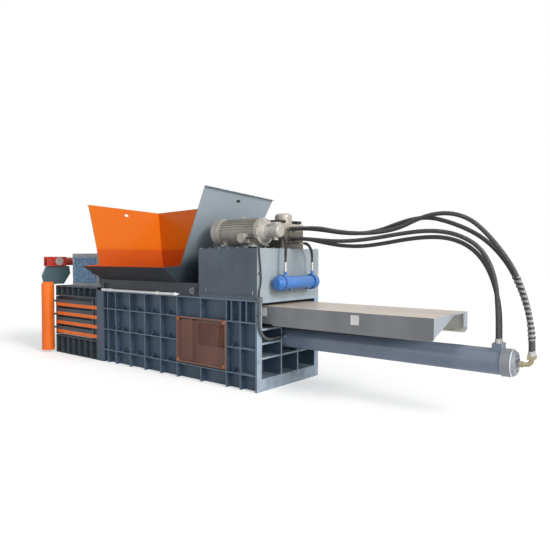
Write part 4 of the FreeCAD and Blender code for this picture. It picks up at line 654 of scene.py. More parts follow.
# ---- objects and meshes ----------------------------------------------------------------
def new_object(name: str, data: bpy.types.ID) -> bpy.types.Object:
    """Links an object at the origin.

    Args:
        name: the object's name.
        data: its mesh, curve, lamp or camera.

    Returns:
        The object.
    """
    made = bpy.data.objects.new(name, data)
    bpy.context.scene.collection.objects.link(made)
    return made


def evaluated(carrier: bpy.types.Object) -> bpy.types.Mesh:
    """What the object comes to with its modifiers.

    Args:
        carrier: a curve, or a mesh with its modifier.

    Returns:
        A plain mesh.
    """
    bpy.context.view_layer.update()
    seen = carrier.evaluated_get(bpy.context.evaluated_depsgraph_get())
    return bpy.data.meshes.new_from_object(seen)


def turn_to(way: Point) -> Quaternion:
    """Rotation that turns Z that way."""
    return Vector(way).to_track_quat("Z", "Y")


def path_mesh(name: str, points: Sequence[Point]) -> bpy.types.Mesh:
    """Open chain of edges through the points.

    Args:
        name: the mesh's name.
        points: the chain's points, in order.

    Returns:
        The mesh.
    """
    mesh = bpy.data.meshes.new(name)
    mesh.from_pydata(points, [(step, step + 1) for step in range(len(points) - 1)], [])
    return mesh


def marked_points(name: str, places: Sequence[Place]) -> bpy.types.Mesh:
    """Loose points that carry the direction of what stands on them.

    Args:
        name: the mesh's name.
        places: point and direction of each.

    Returns:
        The mesh.
    """
    mesh = bpy.data.meshes.new(name)
    mesh.from_pydata([place for place, _ in places], [], [])
    way = mesh.attributes.new("way", "FLOAT_VECTOR", "POINT")
    way.data.foreach_set("vector", [part for _, facing in places for part in facing.value])
    return mesh


def angles(count: int, start: float = 0.0) -> List[float]:
    """Evenly spaced angles of one turn, the first turned by a share of a step."""
    return [2 * math.pi * (step + start) / count for step in range(count)]


def circle_places(middle: Point, radius: float, count: int, way: Way) -> List[Place]:
    """Evenly spaced places on a circle round an axis, the first half a step round.

    Args:
        middle: the circle's centre.
        radius: its radius.
        count: how many places.
        way: the axis, and where the places face.

    Returns:
        Point and direction of each place.
    """
    turned = turn_to(way.value)
    arms = (turned @ Vector((radius * math.cos(angle), radius * math.sin(angle), 0.0))
            for angle in angles(count, 0.5))
    return [(tuple(Vector(middle) + arm), way) for arm in arms]


def hoop(middle: Point, radius: float, steps: int, start: float = 0.0) -> List[Point]:
    """Closed ring of points round a line along X.

    Args:
        middle: the ring's centre.
        radius: its radius.
        steps: how many steps it takes.
        start: the step at which it begins and ends.

    Returns:
        The points, the first again as the last.
    """
    x, y, z = middle
    ring = [(x, y + radius * math.cos(angle), z + radius * math.sin(angle))
            for angle in angles(steps, start)]
    return ring + ring[:1]


class Form:
    """A closed mesh in the making. What adds or shapes a body returns the form itself."""

    def __init__(self) -> None:
        """Starts empty."""
        self.data = bmesh.new()

    def box(self, low: Point, high: Point) -> "Form":
        """Adds a block.

        Args:
            low: its lowest corner.
            high: its highest corner.

        Returns:
            This form.
        """
        foot, head = Vector(low), Vector(high)
        place = Matrix.Translation((head + foot) / 2) @ Matrix.Diagonal((*(head - foot), 1.0))
        bmesh.ops.create_cube(self.data, size=1.0, matrix=place)
        return self

    def bridge(self, first: Sequence[bmesh.types.BMVert],
               second: Sequence[bmesh.types.BMVert]) -> None:
        """Joins two closed loops by faces.

        Args:
            first: the points of one loop.
            second: as many points of the other.
        """
        for a, after_a, after_b, b in zip(first, [*first[1:], first[0]],
                                          [*second[1:], second[0]], second):
            self.data.faces.new((a, after_a, after_b, b))

    def turned(self, profile: Profile, base: Point, way: Way) -> "Form":
        """Adds a lathe-turned body, closed at both ends.

        Args:
            profile: (radius, height) pairs from the foot upwards.
            base: where the foot's middle is.
            way: the direction of the axis.

        Returns:
            This form.
        """
        rings = [[self.data.verts.new((radius * math.cos(angle), radius * math.sin(angle), height))
                  for angle in angles(TURNED_SIDES)] for radius, height in profile]
        for low, high in zip(rings, rings[1:]):
            self.bridge(low, high)
        self.data.faces.new(rings[0][::-1])
        self.data.faces.new(rings[-1])
        self.data.transform(Matrix.Translation(base) @ turn_to(way.value).to_matrix().to_4x4())
        return self

    def rounded(self, radius: float, segments: int) -> "Form":
        """Rounds every edge.

        Args:
            radius: how far the rounding reaches.
            segments: faces across it.

        Returns:
            This form.
        """
        bmesh.ops.bevel(self.data, geom=list(self.data.edges), offset=radius, segments=segments,
                        affect="EDGES", profile=0.5)
        return self

    def pressed(self, border: float, press: float) -> "Form":
        """Pushes back a field on the near side.

        Args:
            border: width of the flat edge round the field.
            press: how far the field is pushed back.

        Returns:
            This form.
        """
        near = min(self.data.faces,
                   key=lambda face: face.calc_center_median().y - face.calc_area())
        for width, depth in ((border, 0.0), (press, -press)):
            bmesh.ops.inset_region(self.data, faces=[near], thickness=width, depth=depth)
        return self

    def mesh(self, name: str) -> bpy.types.Mesh:
        """Ends the form.

        Args:
            name: the mesh's name.

        Returns:
            A mesh whose faces point outwards.
        """
        bmesh.ops.recalc_face_normals(self.data, faces=self.data.faces)
        mesh = bpy.data.meshes.new(name)
        self.data.to_mesh(mesh)
        self.data.free()
        return mesh


@dataclass(frozen=True)
class Piece:
    """Name, coat, material slot and body of a piece that is added to the solids."""

    name: str
    coat: Coat
    slot: str
    body: str = MACHINE

    def settle(self, made: bpy.types.Object) -> bpy.types.Object:
        """Hands the finished object to the frame.

        Args:
            made: the object, in place.

        Returns:
            The same object.
        """
        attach(made, self.body)
        LOG.info("%s rides on %s", self.name, self.body)
        return made

    def of(self, form: Form) -> bpy.types.Object:
        """Makes the piece from a form.

        Args:
            form: its shape, in place.

        Returns:
            The settled object.
        """
        mesh = form.mesh(self.name)
        mesh.materials.append(material(self.coat))
        return self.settle(new_object(self.name, mesh))


# ---- geometry nodes --------------------------------------------------------------------
class Maker(Wired):
    """A Geometry Nodes group with named inputs, run once and kept as a plain mesh."""

    inputs: Dict[str, str] = {}

    def __init__(self) -> None:
        """Makes the group, with the start and the material beside its own inputs."""
        group = bpy.data.node_groups.new(type(self).__name__, "GeometryNodeTree")
        super().__init__(group)
        self.ids: Dict[str, str] = {}
        for label, kind in {"Start": "Geometry", **self.inputs, "Material": "Material"}.items():
            socket = group.interface.new_socket(label, in_out="INPUT",
                                                socket_type="NodeSocket" + kind)
            self.ids[label] = socket.identifier
        group.interface.new_socket("Result", in_out="OUTPUT", socket_type="NodeSocketGeometry")
        self.given = self.node("NodeGroupInput")
        real = self.out("GeometryNodeRealizeInstances", {0: self.geometry()})
        dressed = self.out("GeometryNodeSetMaterial",
                           {"Geometry": real, "Material": self.input("Material")})
        self.node("NodeGroupOutput", {0: dressed})

    def geometry(self) -> Sock:
        """Wires what the group makes; each maker has its own."""
        raise NotImplementedError

    def input(self, label: str) -> Sock:
        """One of the group's inputs."""
        return Sock(self, self.given.outputs[label])

    def join(self, parts: Sequence[Sock]) -> Sock:
        """Joins geometries.

        Args:
            parts: the geometries, in order.

        Returns:
            All of them as one.
        """
        joined = self.node("GeometryNodeJoinGeometry")
        for part in parts:
            self.tree.links.new(part.socket, joined.inputs[0])
        return Sock(self, joined.outputs[0])

    def tube(self, curve: Sock, radius: Number, sides: int) -> Sock:
        """Makes a round tube, closed at its ends.

        Args:
            curve: what it follows.
            radius: its radius, plain or one that changes along the curve.
            sides: faces round it.

        Returns:
            The tube.
        """
        profile = self.out("GeometryNodeCurvePrimitiveCircle",
                           {"Resolution": sides, "Radius": 1.0})
        return self.out("GeometryNodeCurveToMesh", {
            "Curve": curve, "Profile Curve": profile, "Scale": radius, "Fill Caps": True})

    def run(self, piece: Piece, start: bpy.types.Mesh, **values: Any) -> bpy.types.Object:
        """Runs the group on a start mesh and settles what it makes.

        Args:
            piece: the result's name, coat, slot and body.
            start: what the group works on.
            values: the group's other inputs, by label.

        Returns:
            A plain mesh object at the origin.
        """
        carrier = new_object(piece.name + "_start", start)
        modifier = carrier.modifiers.new("maker", "NODES")
        modifier.node_group = self.tree
        for label, value in {**values, "Material": material(piece.coat)}.items():
            modifier[self.ids[label]] = value
        carrier.update_tag()
        mesh = evaluated(carrier)
        bpy.data.objects.remove(carrier)
        mesh.name = piece.name
        return piece.settle(new_object(piece.name, mesh))


class BoltMaker(Maker):
    """A hexagon head, its washer and the end of its thread at every marked point."""

    inputs = {"Radius": "Float", "Height": "Float"}
    drums: Tuple[Tuple[int, float, float], ...] = (
        (6, 1.0, 1.0), (16, 1.45, 0.22), (10, 0.5, 1.35))

    def drum(self, sides: int, radius: Number, height: Number) -> Sock:
        """A short prism that stands on the surface.

        Args:
            sides: its number of sides.
            radius: its radius over corners.
            height: its height.

        Returns:
            The prism.
        """
        solid = self.out("GeometryNodeMeshCylinder",
                         {"Vertices": sides, "Radius": radius, "Depth": height}, "Mesh")
        lift = self.out("ShaderNodeCombineXYZ", {"Z": height * 0.5})
        return self.out("GeometryNodeTransform", {"Geometry": solid, "Translation": lift})

    def geometry(self) -> Sock:
        """Sets the drums on every point: sides, shares of the head's radius and height.

        Returns:
            The bolts.
        """
        radius, height = self.input("Radius"), self.input("Height")
        bolt = self.join([self.drum(sides, radius * wide, height * tall)
                          for sides, wide, tall in self.drums])
        way = self.out("GeometryNodeInputNamedAttribute", {"Name": "way"},
                       data_type="FLOAT_VECTOR")
        turn = self.out("FunctionNodeAlignRotationToVector", {"Vector": way}, axis="Z")
        return self.out("GeometryNodeInstanceOnPoints",
                        {"Points": self.input("Start"), "Instance": bolt, "Rotation": turn})


class RidgedTubeMaker(Maker):
    """A tube along a path, ridged like a spiral sleeve, a conduit or a weld bead."""

    inputs = {"Radius": "Float", "Ridge": "Float", "Pitch": "Float"}
    step: float = 0.2
    sides: int = 20

    def geometry(self) -> Sock:
        """Swells the radius once in every pitch along the path.

        Returns:
            The tube.
        """
        pitch = self.input("Pitch")
        line = self.out("GeometryNodeMeshToCurve", {"Mesh": self.input("Start")})
        fine = self.out("GeometryNodeResampleCurve",
                        {"Curve": line, "Length": pitch * self.step}, mode="LENGTH")
        along = self.out("GeometryNodeSplineParameter", None, "Length")
        wave = self.math("SINE", along / pitch * (2 * math.pi))
        radius = self.input("Radius") + wave * self.input("Ridge")
        return self.tube(fine, radius, self.sides)


class WovenMeshMaker(Maker):
    """Flat field of woven wire."""

    inputs = {"Columns": "Int", "Rows": "Int", "StepX": "Float", "StepZ": "Float",
              "Wire": "Float", "Corner": "Vector"}
    bends: float = 4.0
    bow: float = 1.02
    sides: int = 6

    def wires(self, upright: bool) -> Sock:
        """One set of parallel wires, bowed over and under the other set.

        Args:
            upright: whether these wires stand and the others lie.

        Returns:
            The wires as tubes.
        """
        sets = (("Columns", "StepX", "X"), ("Rows", "StepZ", "Z"))
        (count, step, side), (others, other_step, rise) = sets if upright else sets[::-1]
        offset = self.out("ShaderNodeCombineXYZ", {side: self.input(step)})
        reach = self.input(others) * self.input(other_step)
        end = self.out("ShaderNodeCombineXYZ", {rise: reach})
        row = self.out("GeometryNodeMeshLine", {
            "Count": self.input(count), "Start Location": offset, "Offset": offset})
        line = self.out("GeometryNodeCurvePrimitiveLine", {"End": end})
        fine = self.out("GeometryNodeResampleCurve",
                        {"Curve": line, "Count": self.input(others) * self.bends})
        placed = self.out("GeometryNodeInstanceOnPoints", {"Points": row, "Instance": fine})
        real = self.out("GeometryNodeRealizeInstances", {0: placed})
        place = self.node("ShaderNodeSeparateXYZ", {0: self.out("GeometryNodeInputPosition")})
        bow = self.input("Wire") * (self.bow if upright else -self.bow)
        for axis, width in (("X", "StepX"), ("Z", "StepZ")):
            turn = Sock(self, place.outputs[axis]) / self.input(width) * math.pi
            bow = bow * self.math("COSINE", turn)
        push = self.out("ShaderNodeCombineXYZ", {"Y": bow})
        bowed = self.out("GeometryNodeSetPosition", {"Geometry": real, "Offset": push})
        return self.tube(bowed, self.input("Wire"), self.sides)

    def geometry(self) -> Sock:
        """Moves both sets of wires to the frame's inner corner.

        Returns:
            The woven field.
        """
        both = self.join([self.wires(True), self.wires(False)])
        return self.out("GeometryNodeTransform",
                        {"Geometry": both, "Translation": self.input("Corner")})


@dataclass
class Workshop:
    """The makers that all sub-assemblies share."""

    bolts: BoltMaker = field(default_factory=BoltMaker)
    tubes: RidgedTubeMaker = field(default_factory=RidgedTubeMaker)
    mesh: WovenMeshMaker = field(default_factory=WovenMeshMaker)

    def bolt_set(self, name: str, places: Sequence[Place], radius: float, height: float,
                 coat: Coat = Coat.BOLT) -> None:
        """Bolts as one piece; radius is half the head's width over corners."""
        self.bolts.run(Piece(name, coat, "machined_steel"), marked_points(name, places),
                       Radius=radius, Height=height)

    def bead(self, piece: Piece, points: Sequence[Point], radius: float, ridge: float = 0.0,
             pitch: float = 0.01) -> bpy.types.Object:
        """Tube along points, as one piece, which swells by the ridge once in every pitch."""
        return self.tubes.run(piece, path_mesh(piece.name, points), Radius=radius, Ridge=ridge,
                              Pitch=pitch)


@dataclass
class Assembly:
    """A sub-assembly: its sizes and the workshop that makes its pieces."""

    workshop: Workshop

    def build(self) -> None:
        """Makes every piece; each sub-assembly has its own."""
        raise NotImplementedError


# ---- hoses and cables ------------------------------------------------------------------
@dataclass(frozen=True)
class Sleeve:
    """Spiral wrap over one stretch of a hose, between two shares of its length."""

    first: float
    last: float
    wall: float
    pitch: float
    coat: Coat


@dataclass(frozen=True)
class Hose:
    """A kind of hose or cable; one with a ridge is corrugated."""

    diameter: float
    coat: Coat
    slot: str = "hose_rubber"
    stiffness: Stiffness = Stiffness.MEDIUM
    lay: Lay = Lay.HANGING
    ridge: float = 0.0
    pitch: float = 0.0


@dataclass(frozen=True)
class Route:
    """One hose or cable: control points in millimetres, as in the CAD source."""

    node: str
    hose: Hose
    length: float
    points: Tuple[Point, ...]
    sleeve: Optional[Sleeve] = None

    def places(self) -> List[Point]:
        """The control points in metres."""
        return [tuple(MM * part for part in point) for point in self.points]

    def line(self) -> bpy.types.Object:
        """The route as one open NURBS curve, not yet thick.

        Returns:
            The curve's object.
        """
        data = bpy.data.curves.new(self.node + "_run", "CURVE")
        data.dimensions = "3D"
        data.resolution_u = CURVE_STEPS
        spline = data.splines.new("NURBS")
        places = self.places()
        spline.points.add(len(places) - 1)
        for control, place in zip(spline.points, places):
            control.co = (*place, 1.0)
        spline.order_u = 3
        spline.use_endpoint_u = True
        return new_object(self.node + "_run", data)


@dataclass
class Hoses(Assembly):
    """Every hose and cable, its sleeves and its strain relief."""

    arch: Hose = Hose(0.050, Coat.ARCH, stiffness=Stiffness.STIFF, lay=Lay.LOOSE)
    cooler: Hose = Hose(0.030, Coat.RUBBER)
    cable: Hose = Hose(0.020, Coat.SHEATH, "cable_plastic")
    conduit: Hose = Hose(0.038, Coat.RIBBED, "cable_plastic", ridge=0.0012, pitch=0.009)
    tail_wrap: Sleeve = Sleeve(0.80, 0.975, 0.0075, 0.050, Coat.SLEEVE)
    cooler_wrap: Sleeve = Sleeve(0.10, 0.90, 0.0060, 0.016, Coat.RUBBER)
    relief: Profile = ((0.019, 0.0), (0.019, 0.010), (0.0165, 0.012), (0.0155, 0.022),
                       (0.0125, 0.034), (0.0115, 0.046))
    relief_foot: Point = (1.541, -0.615, 2.017)
    routes: Tuple[Route, ...] = (
        Route("arch_hose_1", arch, 4.132, (
            (1770, 40, 2160), (1960, 40, 2160), (2260, 24, 2154), (2560, 8, 2094),
            (2870, -4, 2060), (3180, -10, 2064), (3440, -6, 2110), (3650, 0, 2205),
            (3860, 6, 2262), (4080, 8, 2256), (4280, 4, 2175), (4440, 0, 2030), (4590, -6, 1850),
            (4730, -22, 1650), (4838, -34, 1400), (4900, -36, 1150), (4917, -36, 920),
            (4917, -36, 800)), tail_wrap),
        Route("arch_hose_2", arch, 4.027, (
            (1770, 150, 2160), (1960, 150, 2160), (2260, 134, 2126), (2560, 112, 2078),
            (2860, 92, 2062), (3130, 78, 2092), (3350, 70, 2160), (3560, 66, 2215),
            (3780, 64, 2228), (3990, 64, 2170), (4190, 62, 2090), (4370, 60, 1990),
            (4530, 56, 1850), (4680, 46, 1660), (4800, 38, 1410), (4880, 36, 1150),
            (4917, 36, 920), (4917, 36, 800)), tail_wrap),
        Route("arch_hose_3", arch, 3.682, (
            (1770, 60, 2020), (1960, 60, 2020), (2260, 40, 1992), (2560, 16, 1968),
            (2870, -4, 1972), (3180, -24, 2002), (3480, -44, 2042), (3760, -58, 2066),
            (4000, -62, 2052), (4210, -58, 1990), (4380, -50, 1880), (4490, -42, 1720),
            (4560, -36, 1500), (4583, -37, 1250), (4590, -36, 1030), (4590, -36, 900))),
        Route("arch_hose_4", arch, 3.597, (
            (1770, 170, 2020), (1960, 170, 2020), (2260, 146, 1958), (2560, 116, 1912),
            (2870, 92, 1898), (3180, 72, 1930), (3480, 58, 1975), (3740, 50, 1998),
            (3970, 46, 1990), (4170, 44, 1930), (4330, 42, 1820), (4450, 40, 1660),
            (4530, 37, 1460), (4580, 36, 1230), (4590, 36, 1030), (4590, 36, 900))),
        Route("cooler_hose_1", cooler, 0.519, (
            (1719, -238, 2072), (1808, -238, 2072), (1885, -244, 2027), (1930, -256, 1950),
            (1932, -265, 1868), (1930, -270, 1785), (1930, -270, 1695)), cooler_wrap),
        Route("cooler_hose_2", cooler, 0.426, (
            (1930, 105, 1957), (1930, 211, 1957), (1930, 299, 1906), (1930, 350, 1818),
            (1930, 350, 1695)), cooler_wrap),
        Route("motor_cable", cable, 1.001, (
            (1541, -615, 2017), (1625, -615, 2017), (1710, -640, 2010), (1785, -672, 1975),
            (1820, -688, 1905), (1822, -680, 1800), (1820, -652, 1630), (1820, -640, 1480),
            (1820, -654, 1390), (1822, -685, 1320), (1822, -685, 1249))),
        Route("conduit", conduit, 0.898, (
            (1830, -685, 1172), (1830, -685, 1075), (1830, -687, 960), (1830, -685, 841),
            (1830, -626, 739), (1830, -524, 682), (1830, -410, 678), (1830, -300, 690),
            (1830, -185, 690))),
    )

    def wrapped(self, route: Route, path: List[Point]) -> List[bpy.types.Object]:
        """Wraps a hose where it has a sleeve.

        Args:
            route: the hose.
            path: points on its smooth line.

        Returns:
            The sleeve, or nothing.
        """
        wrap = route.sleeve
        if not wrap:
            return []
        first, last = (int(len(path) * share) for share in (wrap.first, wrap.last))
        swell = wrap.wall / 2
        piece = Piece(route.node + "_sleeve", wrap.coat, route.hose.slot)
        return [self.workshop.bead(piece, path[first:last], route.hose.diameter / 2 + swell,
                                   swell, wrap.pitch)]

    def lay_out(self, route: Route) -> None:
        """Makes a smooth hose as a round curve and a corrugated one as a ridged tube.

        Args:
            route: the hose or cable.
        """
        hose = route.hose
        piece = Piece(route.node + "_run", hose.coat, hose.slot)
        curve = route.line()
        line = evaluated(curve)
        path = [tuple(vertex.co) for vertex in line.vertices]
        bpy.data.meshes.remove(line)
        extras = self.wrapped(route, path)
        if hose.ridge:
            bpy.data.objects.remove(curve)
            made = self.workshop.bead(piece, path, hose.diameter / 2 - hose.ridge, hose.ridge,
                                      hose.pitch)
        else:
            curve.data.bevel_depth = hose.diameter / 2
            curve.data.bevel_resolution = HOSE_ROUNDNESS
            curve.data.use_fill_caps = True
            curve.data.materials.append(material(hose.coat))
            made = piece.settle(curve)
        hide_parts(route.node)
        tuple(route.places()[0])

    def build(self) -> None:
        """Makes all eight, then the cable's strain relief."""
        for route in self.routes:
            self.lay_out(route)
        Piece("cable_relief", Coat.COIL, "cable_plastic").of(
            Form().turned(self.relief, self.relief_foot, Way.TAIL))


# ---- sub-assemblies --------------------------------------------------------------------
@dataclass
class Solids(Assembly):
    """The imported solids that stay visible."""

    def build(self) -> None:
        """Gives every material slot of a CAD node the coat that names the node."""
        for coat in Coat:
            for node in coat.value.nodes:
                for place in frame["nodes"][node].material_slots:
                    place.material = material(coat)
                LOG.info("%s wears %s", node, coat.value.name)


@dataclass
class Guard(Assembly):
    """Framed woven mesh over the window, in place of the CAD's coarse one."""

    border: float = 0.025
    edge: float = 0.0025
    columns: int = 44
    rows: int = 28
    wire: float = 0.0029
    wire_depth: float = 0.006

    def ring(self, low: Vector, high: Vector) -> Form:
        """Flat ring with rounded edges.

        Args:
            low: the panel's lowest corner.
            high: its highest corner.

        Returns:
            The ring.
        """
        form = Form()
        loops = []
        for y in (low.y, high.y):
            for inset in (0.0, self.border):
                left, right = low.x + inset, high.x - inset
                foot, head = low.z + inset, high.z - inset
                corners = ((left, foot), (right, foot), (right, head), (left, head))
                loops.append([form.data.verts.new((x, y, z)) for x, z in corners])
        out_near, in_near, out_far, in_far = loops
        for first, second in ((out_near, in_near), (in_near, in_far), (in_far, out_far),
                              (out_far, out_near)):
            form.bridge(first, second)
        return form.rounded(self.edge, segments=2)

    def build(self) -> None:
        """Makes frame and wires, both in place of the CAD panel."""
        low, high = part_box("guard_panel")
        ring = Piece("guard_frame", Coat.GUARD, "guard_paint").of(self.ring(low, high))
        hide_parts("guard_panel")
        wires = self.workshop.mesh.run(
            Piece("guard_wires", Coat.WIRE, "guard_paint"), bpy.data.meshes.new("wires"),
            Columns=self.columns - 1, Rows=self.rows - 1,
            StepX=(high.x - low.x - 2 * self.border) / self.columns,
            StepZ=(high.z - low.z - 2 * self.border) / self.rows, Wire=self.wire,
            Corner=(low.x + self.border, low.y + self.wire_depth, low.z + self.border))
        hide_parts("guard_panel")


@dataclass
class Hopper(Assembly):
    """Dark disc behind the right wall's lifting hole, as painted shade in the hole."""

    shade_disc: Profile = ((0.048, 0.0), (0.048, 0.003), (0.044, 0.006))
    shade_disc_place: Point = (0.8205, 0.0, 2.595)

    def build(self) -> None:
        """Makes the dark disc of painted shade."""
        Piece("lift_hole_shade_disc", Coat.PLASTIC, "hopper_paint").of(
            Form().turned(self.shade_disc, self.shade_disc_place, Way.OFF_RIGHT_WALL))


@dataclass
class PowerUnit(Assembly):
    """Small fittings of the tank, motor, pump and cooler."""

    lid_step: float = 0.155
    lid_inset: float = 0.026
    lid_sheet: float = 0.012
    cooler_x: float = 1.93
    cooler_z: float = 1.42
    cooler_cap: float = 0.096
    cooler_circle: float = 0.101
    cooler_bolts: int = 10
    motor_y: float = -0.4
    motor_z: float = 2.105
    motor_radius: float = 0.185
    bell_circles: Tuple[Tuple[float, float, int], ...] = ((1.683, 0.166, 8), (1.779, 0.0925, 4))
    eye_x: float = 1.30
    eye_radius: float = 0.020
    eye_bar: float = 0.006

    def lid_bolts(self) -> None:
        """Bolts round the lid's edge."""
        low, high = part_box("tank_lid")
        (low_x, high_x), (low_y, high_y) = (
            (low[axis] + self.lid_inset, high[axis] - self.lid_inset) for axis in (0, 1))
        top = low.z + self.lid_sheet
        along = int((high_x - low_x) / self.lid_step)
        across = int((high_y - low_y) / self.lid_step)
        places = [((low_x + (high_x - low_x) * step / along, y, top), Way.UP)
                  for step in range(along + 1) for y in (low_y, high_y)]
        places += [((x, low_y + (high_y - low_y) * step / across, top), Way.UP)
                   for step in range(1, across) for x in (low_x, high_x)]
        self.workshop.bolt_set("lid_bolts", places, radius=0.011, height=0.009, coat=Coat.TANK)

    def build(self) -> None:
        """Makes the bolts of lid, cooler caps and bell housing, and the motor's lifting eye."""
        self.lid_bolts()
        low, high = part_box("oil_cooler")
        caps = []
        for y, way in ((low.y + self.cooler_cap, Way.NEAR), (high.y - self.cooler_cap, Way.FAR)):
            caps += circle_places((self.cooler_x, y, self.cooler_z), self.cooler_circle,
                                  self.cooler_bolts, way)
        self.workshop.bolt_set("cooler_bolts", caps, radius=0.0075, height=0.007)
        flange = []
        for x, radius, count in self.bell_circles:
            flange += circle_places((x, self.motor_y, self.motor_z), radius, count, Way.TAIL)
        self.workshop.bolt_set("bell_bolts", flange, radius=0.009, height=0.009)
        eye = (self.eye_x, self.motor_y, self.motor_z + self.motor_radius + self.eye_radius)
        self.workshop.bead(Piece("motor_eye", Coat.MOTOR, "motor_paint"),
                           hoop(eye, self.eye_radius, steps=24, start=-6), self.eye_bar)


@dataclass
class Cylinder(Assembly):
    """Small fittings of the main cylinder."""

    axis_z: float = 0.653
    flange_x: float = 1.5
    flange_circle: float = 0.165
    flange_bolts: int = 12
    rings: Tuple[Tuple[str, float, float, Coat], ...] = (
        # The second ring is a painted highlight on the tail's rim.
        ("tail_weld", 4.642, 0.1475, Coat.TAIL), ("tail_rim_highlight", 4.739, 0.1455, Coat.BRIGHT))
    ring_bar: float = 0.005
    tail_x: float = 4.7735
    tail_circle: float = 0.085
    tail_screws: int = 8

    def build(self) -> None:
        """Mount bolts, the tail's weld ring, a bright ring as a painted highlight on its rim, and
        the screws in its face.
        """
        places = circle_places((self.flange_x, 0.0, self.axis_z), self.flange_circle,
                               self.flange_bolts, Way.TAIL)
        self.workshop.bolt_set("mount_bolts", places, radius=0.018, height=0.018)
        for name, x, radius, coat in self.rings:
            self.workshop.bead(Piece(name, coat, "machined_steel"),
                               hoop((x, 0.0, self.axis_z), radius, steps=72), self.ring_bar,
                               ridge=0.0008, pitch=0.012)
        places = circle_places((self.tail_x, 0.0, self.axis_z), self.tail_circle,
                               self.tail_screws, Way.TAIL)
        self.workshop.bolt_set("tail_bolts", places, radius=0.009, height=0.008)


@dataclass
class Deck(Assembly):
    """Stiffening lips under the deck's skirts and two bare plates on the near one."""

    ends: Tuple[float, float] = (1.90, 4.06)
    side: float = 0.51
    lip_width: float = 0.050
    lip_height: float = 0.022
    bottom: float = 0.888
    plates: Tuple[Tuple[str, float, float, float], ...] = (
        ("bare_plate", 3.074, 0.974, 1.088), ("bare_plate_inner", 1.695, 0.985, 1.097))
    plate_length: float = 0.11
    plate_sheet: float = 0.002

    def build(self) -> None:
        """Makes both lips and the plates; all ride with the ram."""
        front, rear = self.ends
        for name, side in (("near_lip", -1), ("far_lip", 1)):
            inner, outer = sorted((side * (self.side - self.lip_width), side * self.side))
            Piece(name, Coat.DECK, "ram_paint", "ram").of(
                Form().box((front, inner, self.bottom - self.lip_height),
                           (rear, outer, self.bottom))
                .rounded(0.002, segments=3).pressed(border=0.004, press=0.001))
        for name, x, low, high in self.plates:
            Piece(name, Coat.PLATE, "ram_paint", "ram").of(
                Form().box((x, -self.side - self.plate_sheet, low),
                           (x + self.plate_length, -self.side, high))
                .rounded(0.0006, segments=3).pressed(border=0.006, press=0.0004))


@dataclass
class Clamp(Assembly):
    """Silver caps on the clamping cylinder's two pins."""

    place: Point = (-3.185, 0.59, 1.68)
    cap: Profile = ((0.0785, 0.0), (0.0785, 0.004), (0.0745, 0.008), (0.040, 0.0085),
                    (0.037, 0.005), (0.010, 0.005))

    def build(self) -> None:
        """Makes one cap on each fork, riding with it."""
        x, y, z = self.place
        for name, side, body in (("near_cap", -y, "pull_barrel"), ("far_cap", y, "pull_rod")):
            Piece(name, Coat.MOTOR, "pull_paint", body).of(
                Form().turned(self.cap, (x, side, z), Way.TAIL))


@dataclass
class Outlet(Assembly):
    """Ends of the painted bars, which reach over the arms' end plates to the press box."""

    reach: Tuple[float, float] = (-1.953, -1.806)
    face: float = 0.702
    thick: float = 0.008
    low: float = 0.37
    height: float = 0.06
    pitch: float = 0.165
    bars: int = 4

    def build(self) -> None:
        """Makes the bars' ends on either wall, riding with it."""
        front, rear = self.reach
        for name, side, body in (("near_bar_ends", -1, "near_arm"), ("far_bar_ends", 1, "far_arm")):
            inner, outer = sorted((side * (self.face - self.thick), side * self.face))
            form = Form()
            for bar in range(self.bars):
                z = self.low + bar * self.pitch
                form.box((front, inner, z), (rear, outer, z + self.height))
            Piece(name, Coat.ORANGE, "orange_paint", body).of(form.rounded(0.002, segments=2))


@dataclass
class Cabinet(Assembly):
    """Door, hinges and handle of the outlet's valve cover."""

    gap: float = 0.070
    thick: float = 0.012
    sunk: float = 0.001
    hinge_shares: Tuple[float, float] = (0.2, 0.8)
    hinge_half: float = 0.035
    hinge_radius: float = 0.009
    handle_inset: float = 0.06
    handle_radius: float = 0.007
    handle: Profile = ((0.004, -0.06), (-0.025, -0.055), (-0.032, -0.04), (-0.032, 0.04),
                       (-0.025, 0.055), (0.004, 0.06))

    def build(self) -> None:
        """Makes the door and what hangs on it; the handle's pairs are (depth, rise)."""
        low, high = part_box("valve_cover")
        face = low.y - self.thick
        left, right = low.x + self.gap, high.x - self.gap
        Piece("cabinet_door", Coat.DOOR, "cover_paint").of(
            Form().box((left, face, low.z + self.gap),
                       (right, low.y + self.sunk, high.z - self.gap))
            .rounded(0.004, segments=3).pressed(border=0.045, press=0.006))
        for index, share in enumerate(self.hinge_shares):
            z = low.z + (high.z - low.z) * share
            self.workshop.bead(
                Piece(f"cabinet_hinge_{index}", Coat.BOLT, "machined_steel"),
                [(left, face, z - self.hinge_half), (left, face, z + self.hinge_half)],
                self.hinge_radius, ridge=0.0008, pitch=0.0235)
        middle = (low.z + high.z) / 2
        self.workshop.bead(
            Piece("cabinet_handle", Coat.COIL, "machined_steel"),
            [(right - self.handle_inset, face + depth, middle + rise)
             for depth, rise in self.handle], self.handle_radius)


# ---- studio ----------------------------------------------------------------------------
@dataclass(frozen=True)
class Lamp:
    """A far lamp: its strength, where it stands and how wide it looks, in degrees."""

    name: str
    level: float
    way: Point
    angle: float


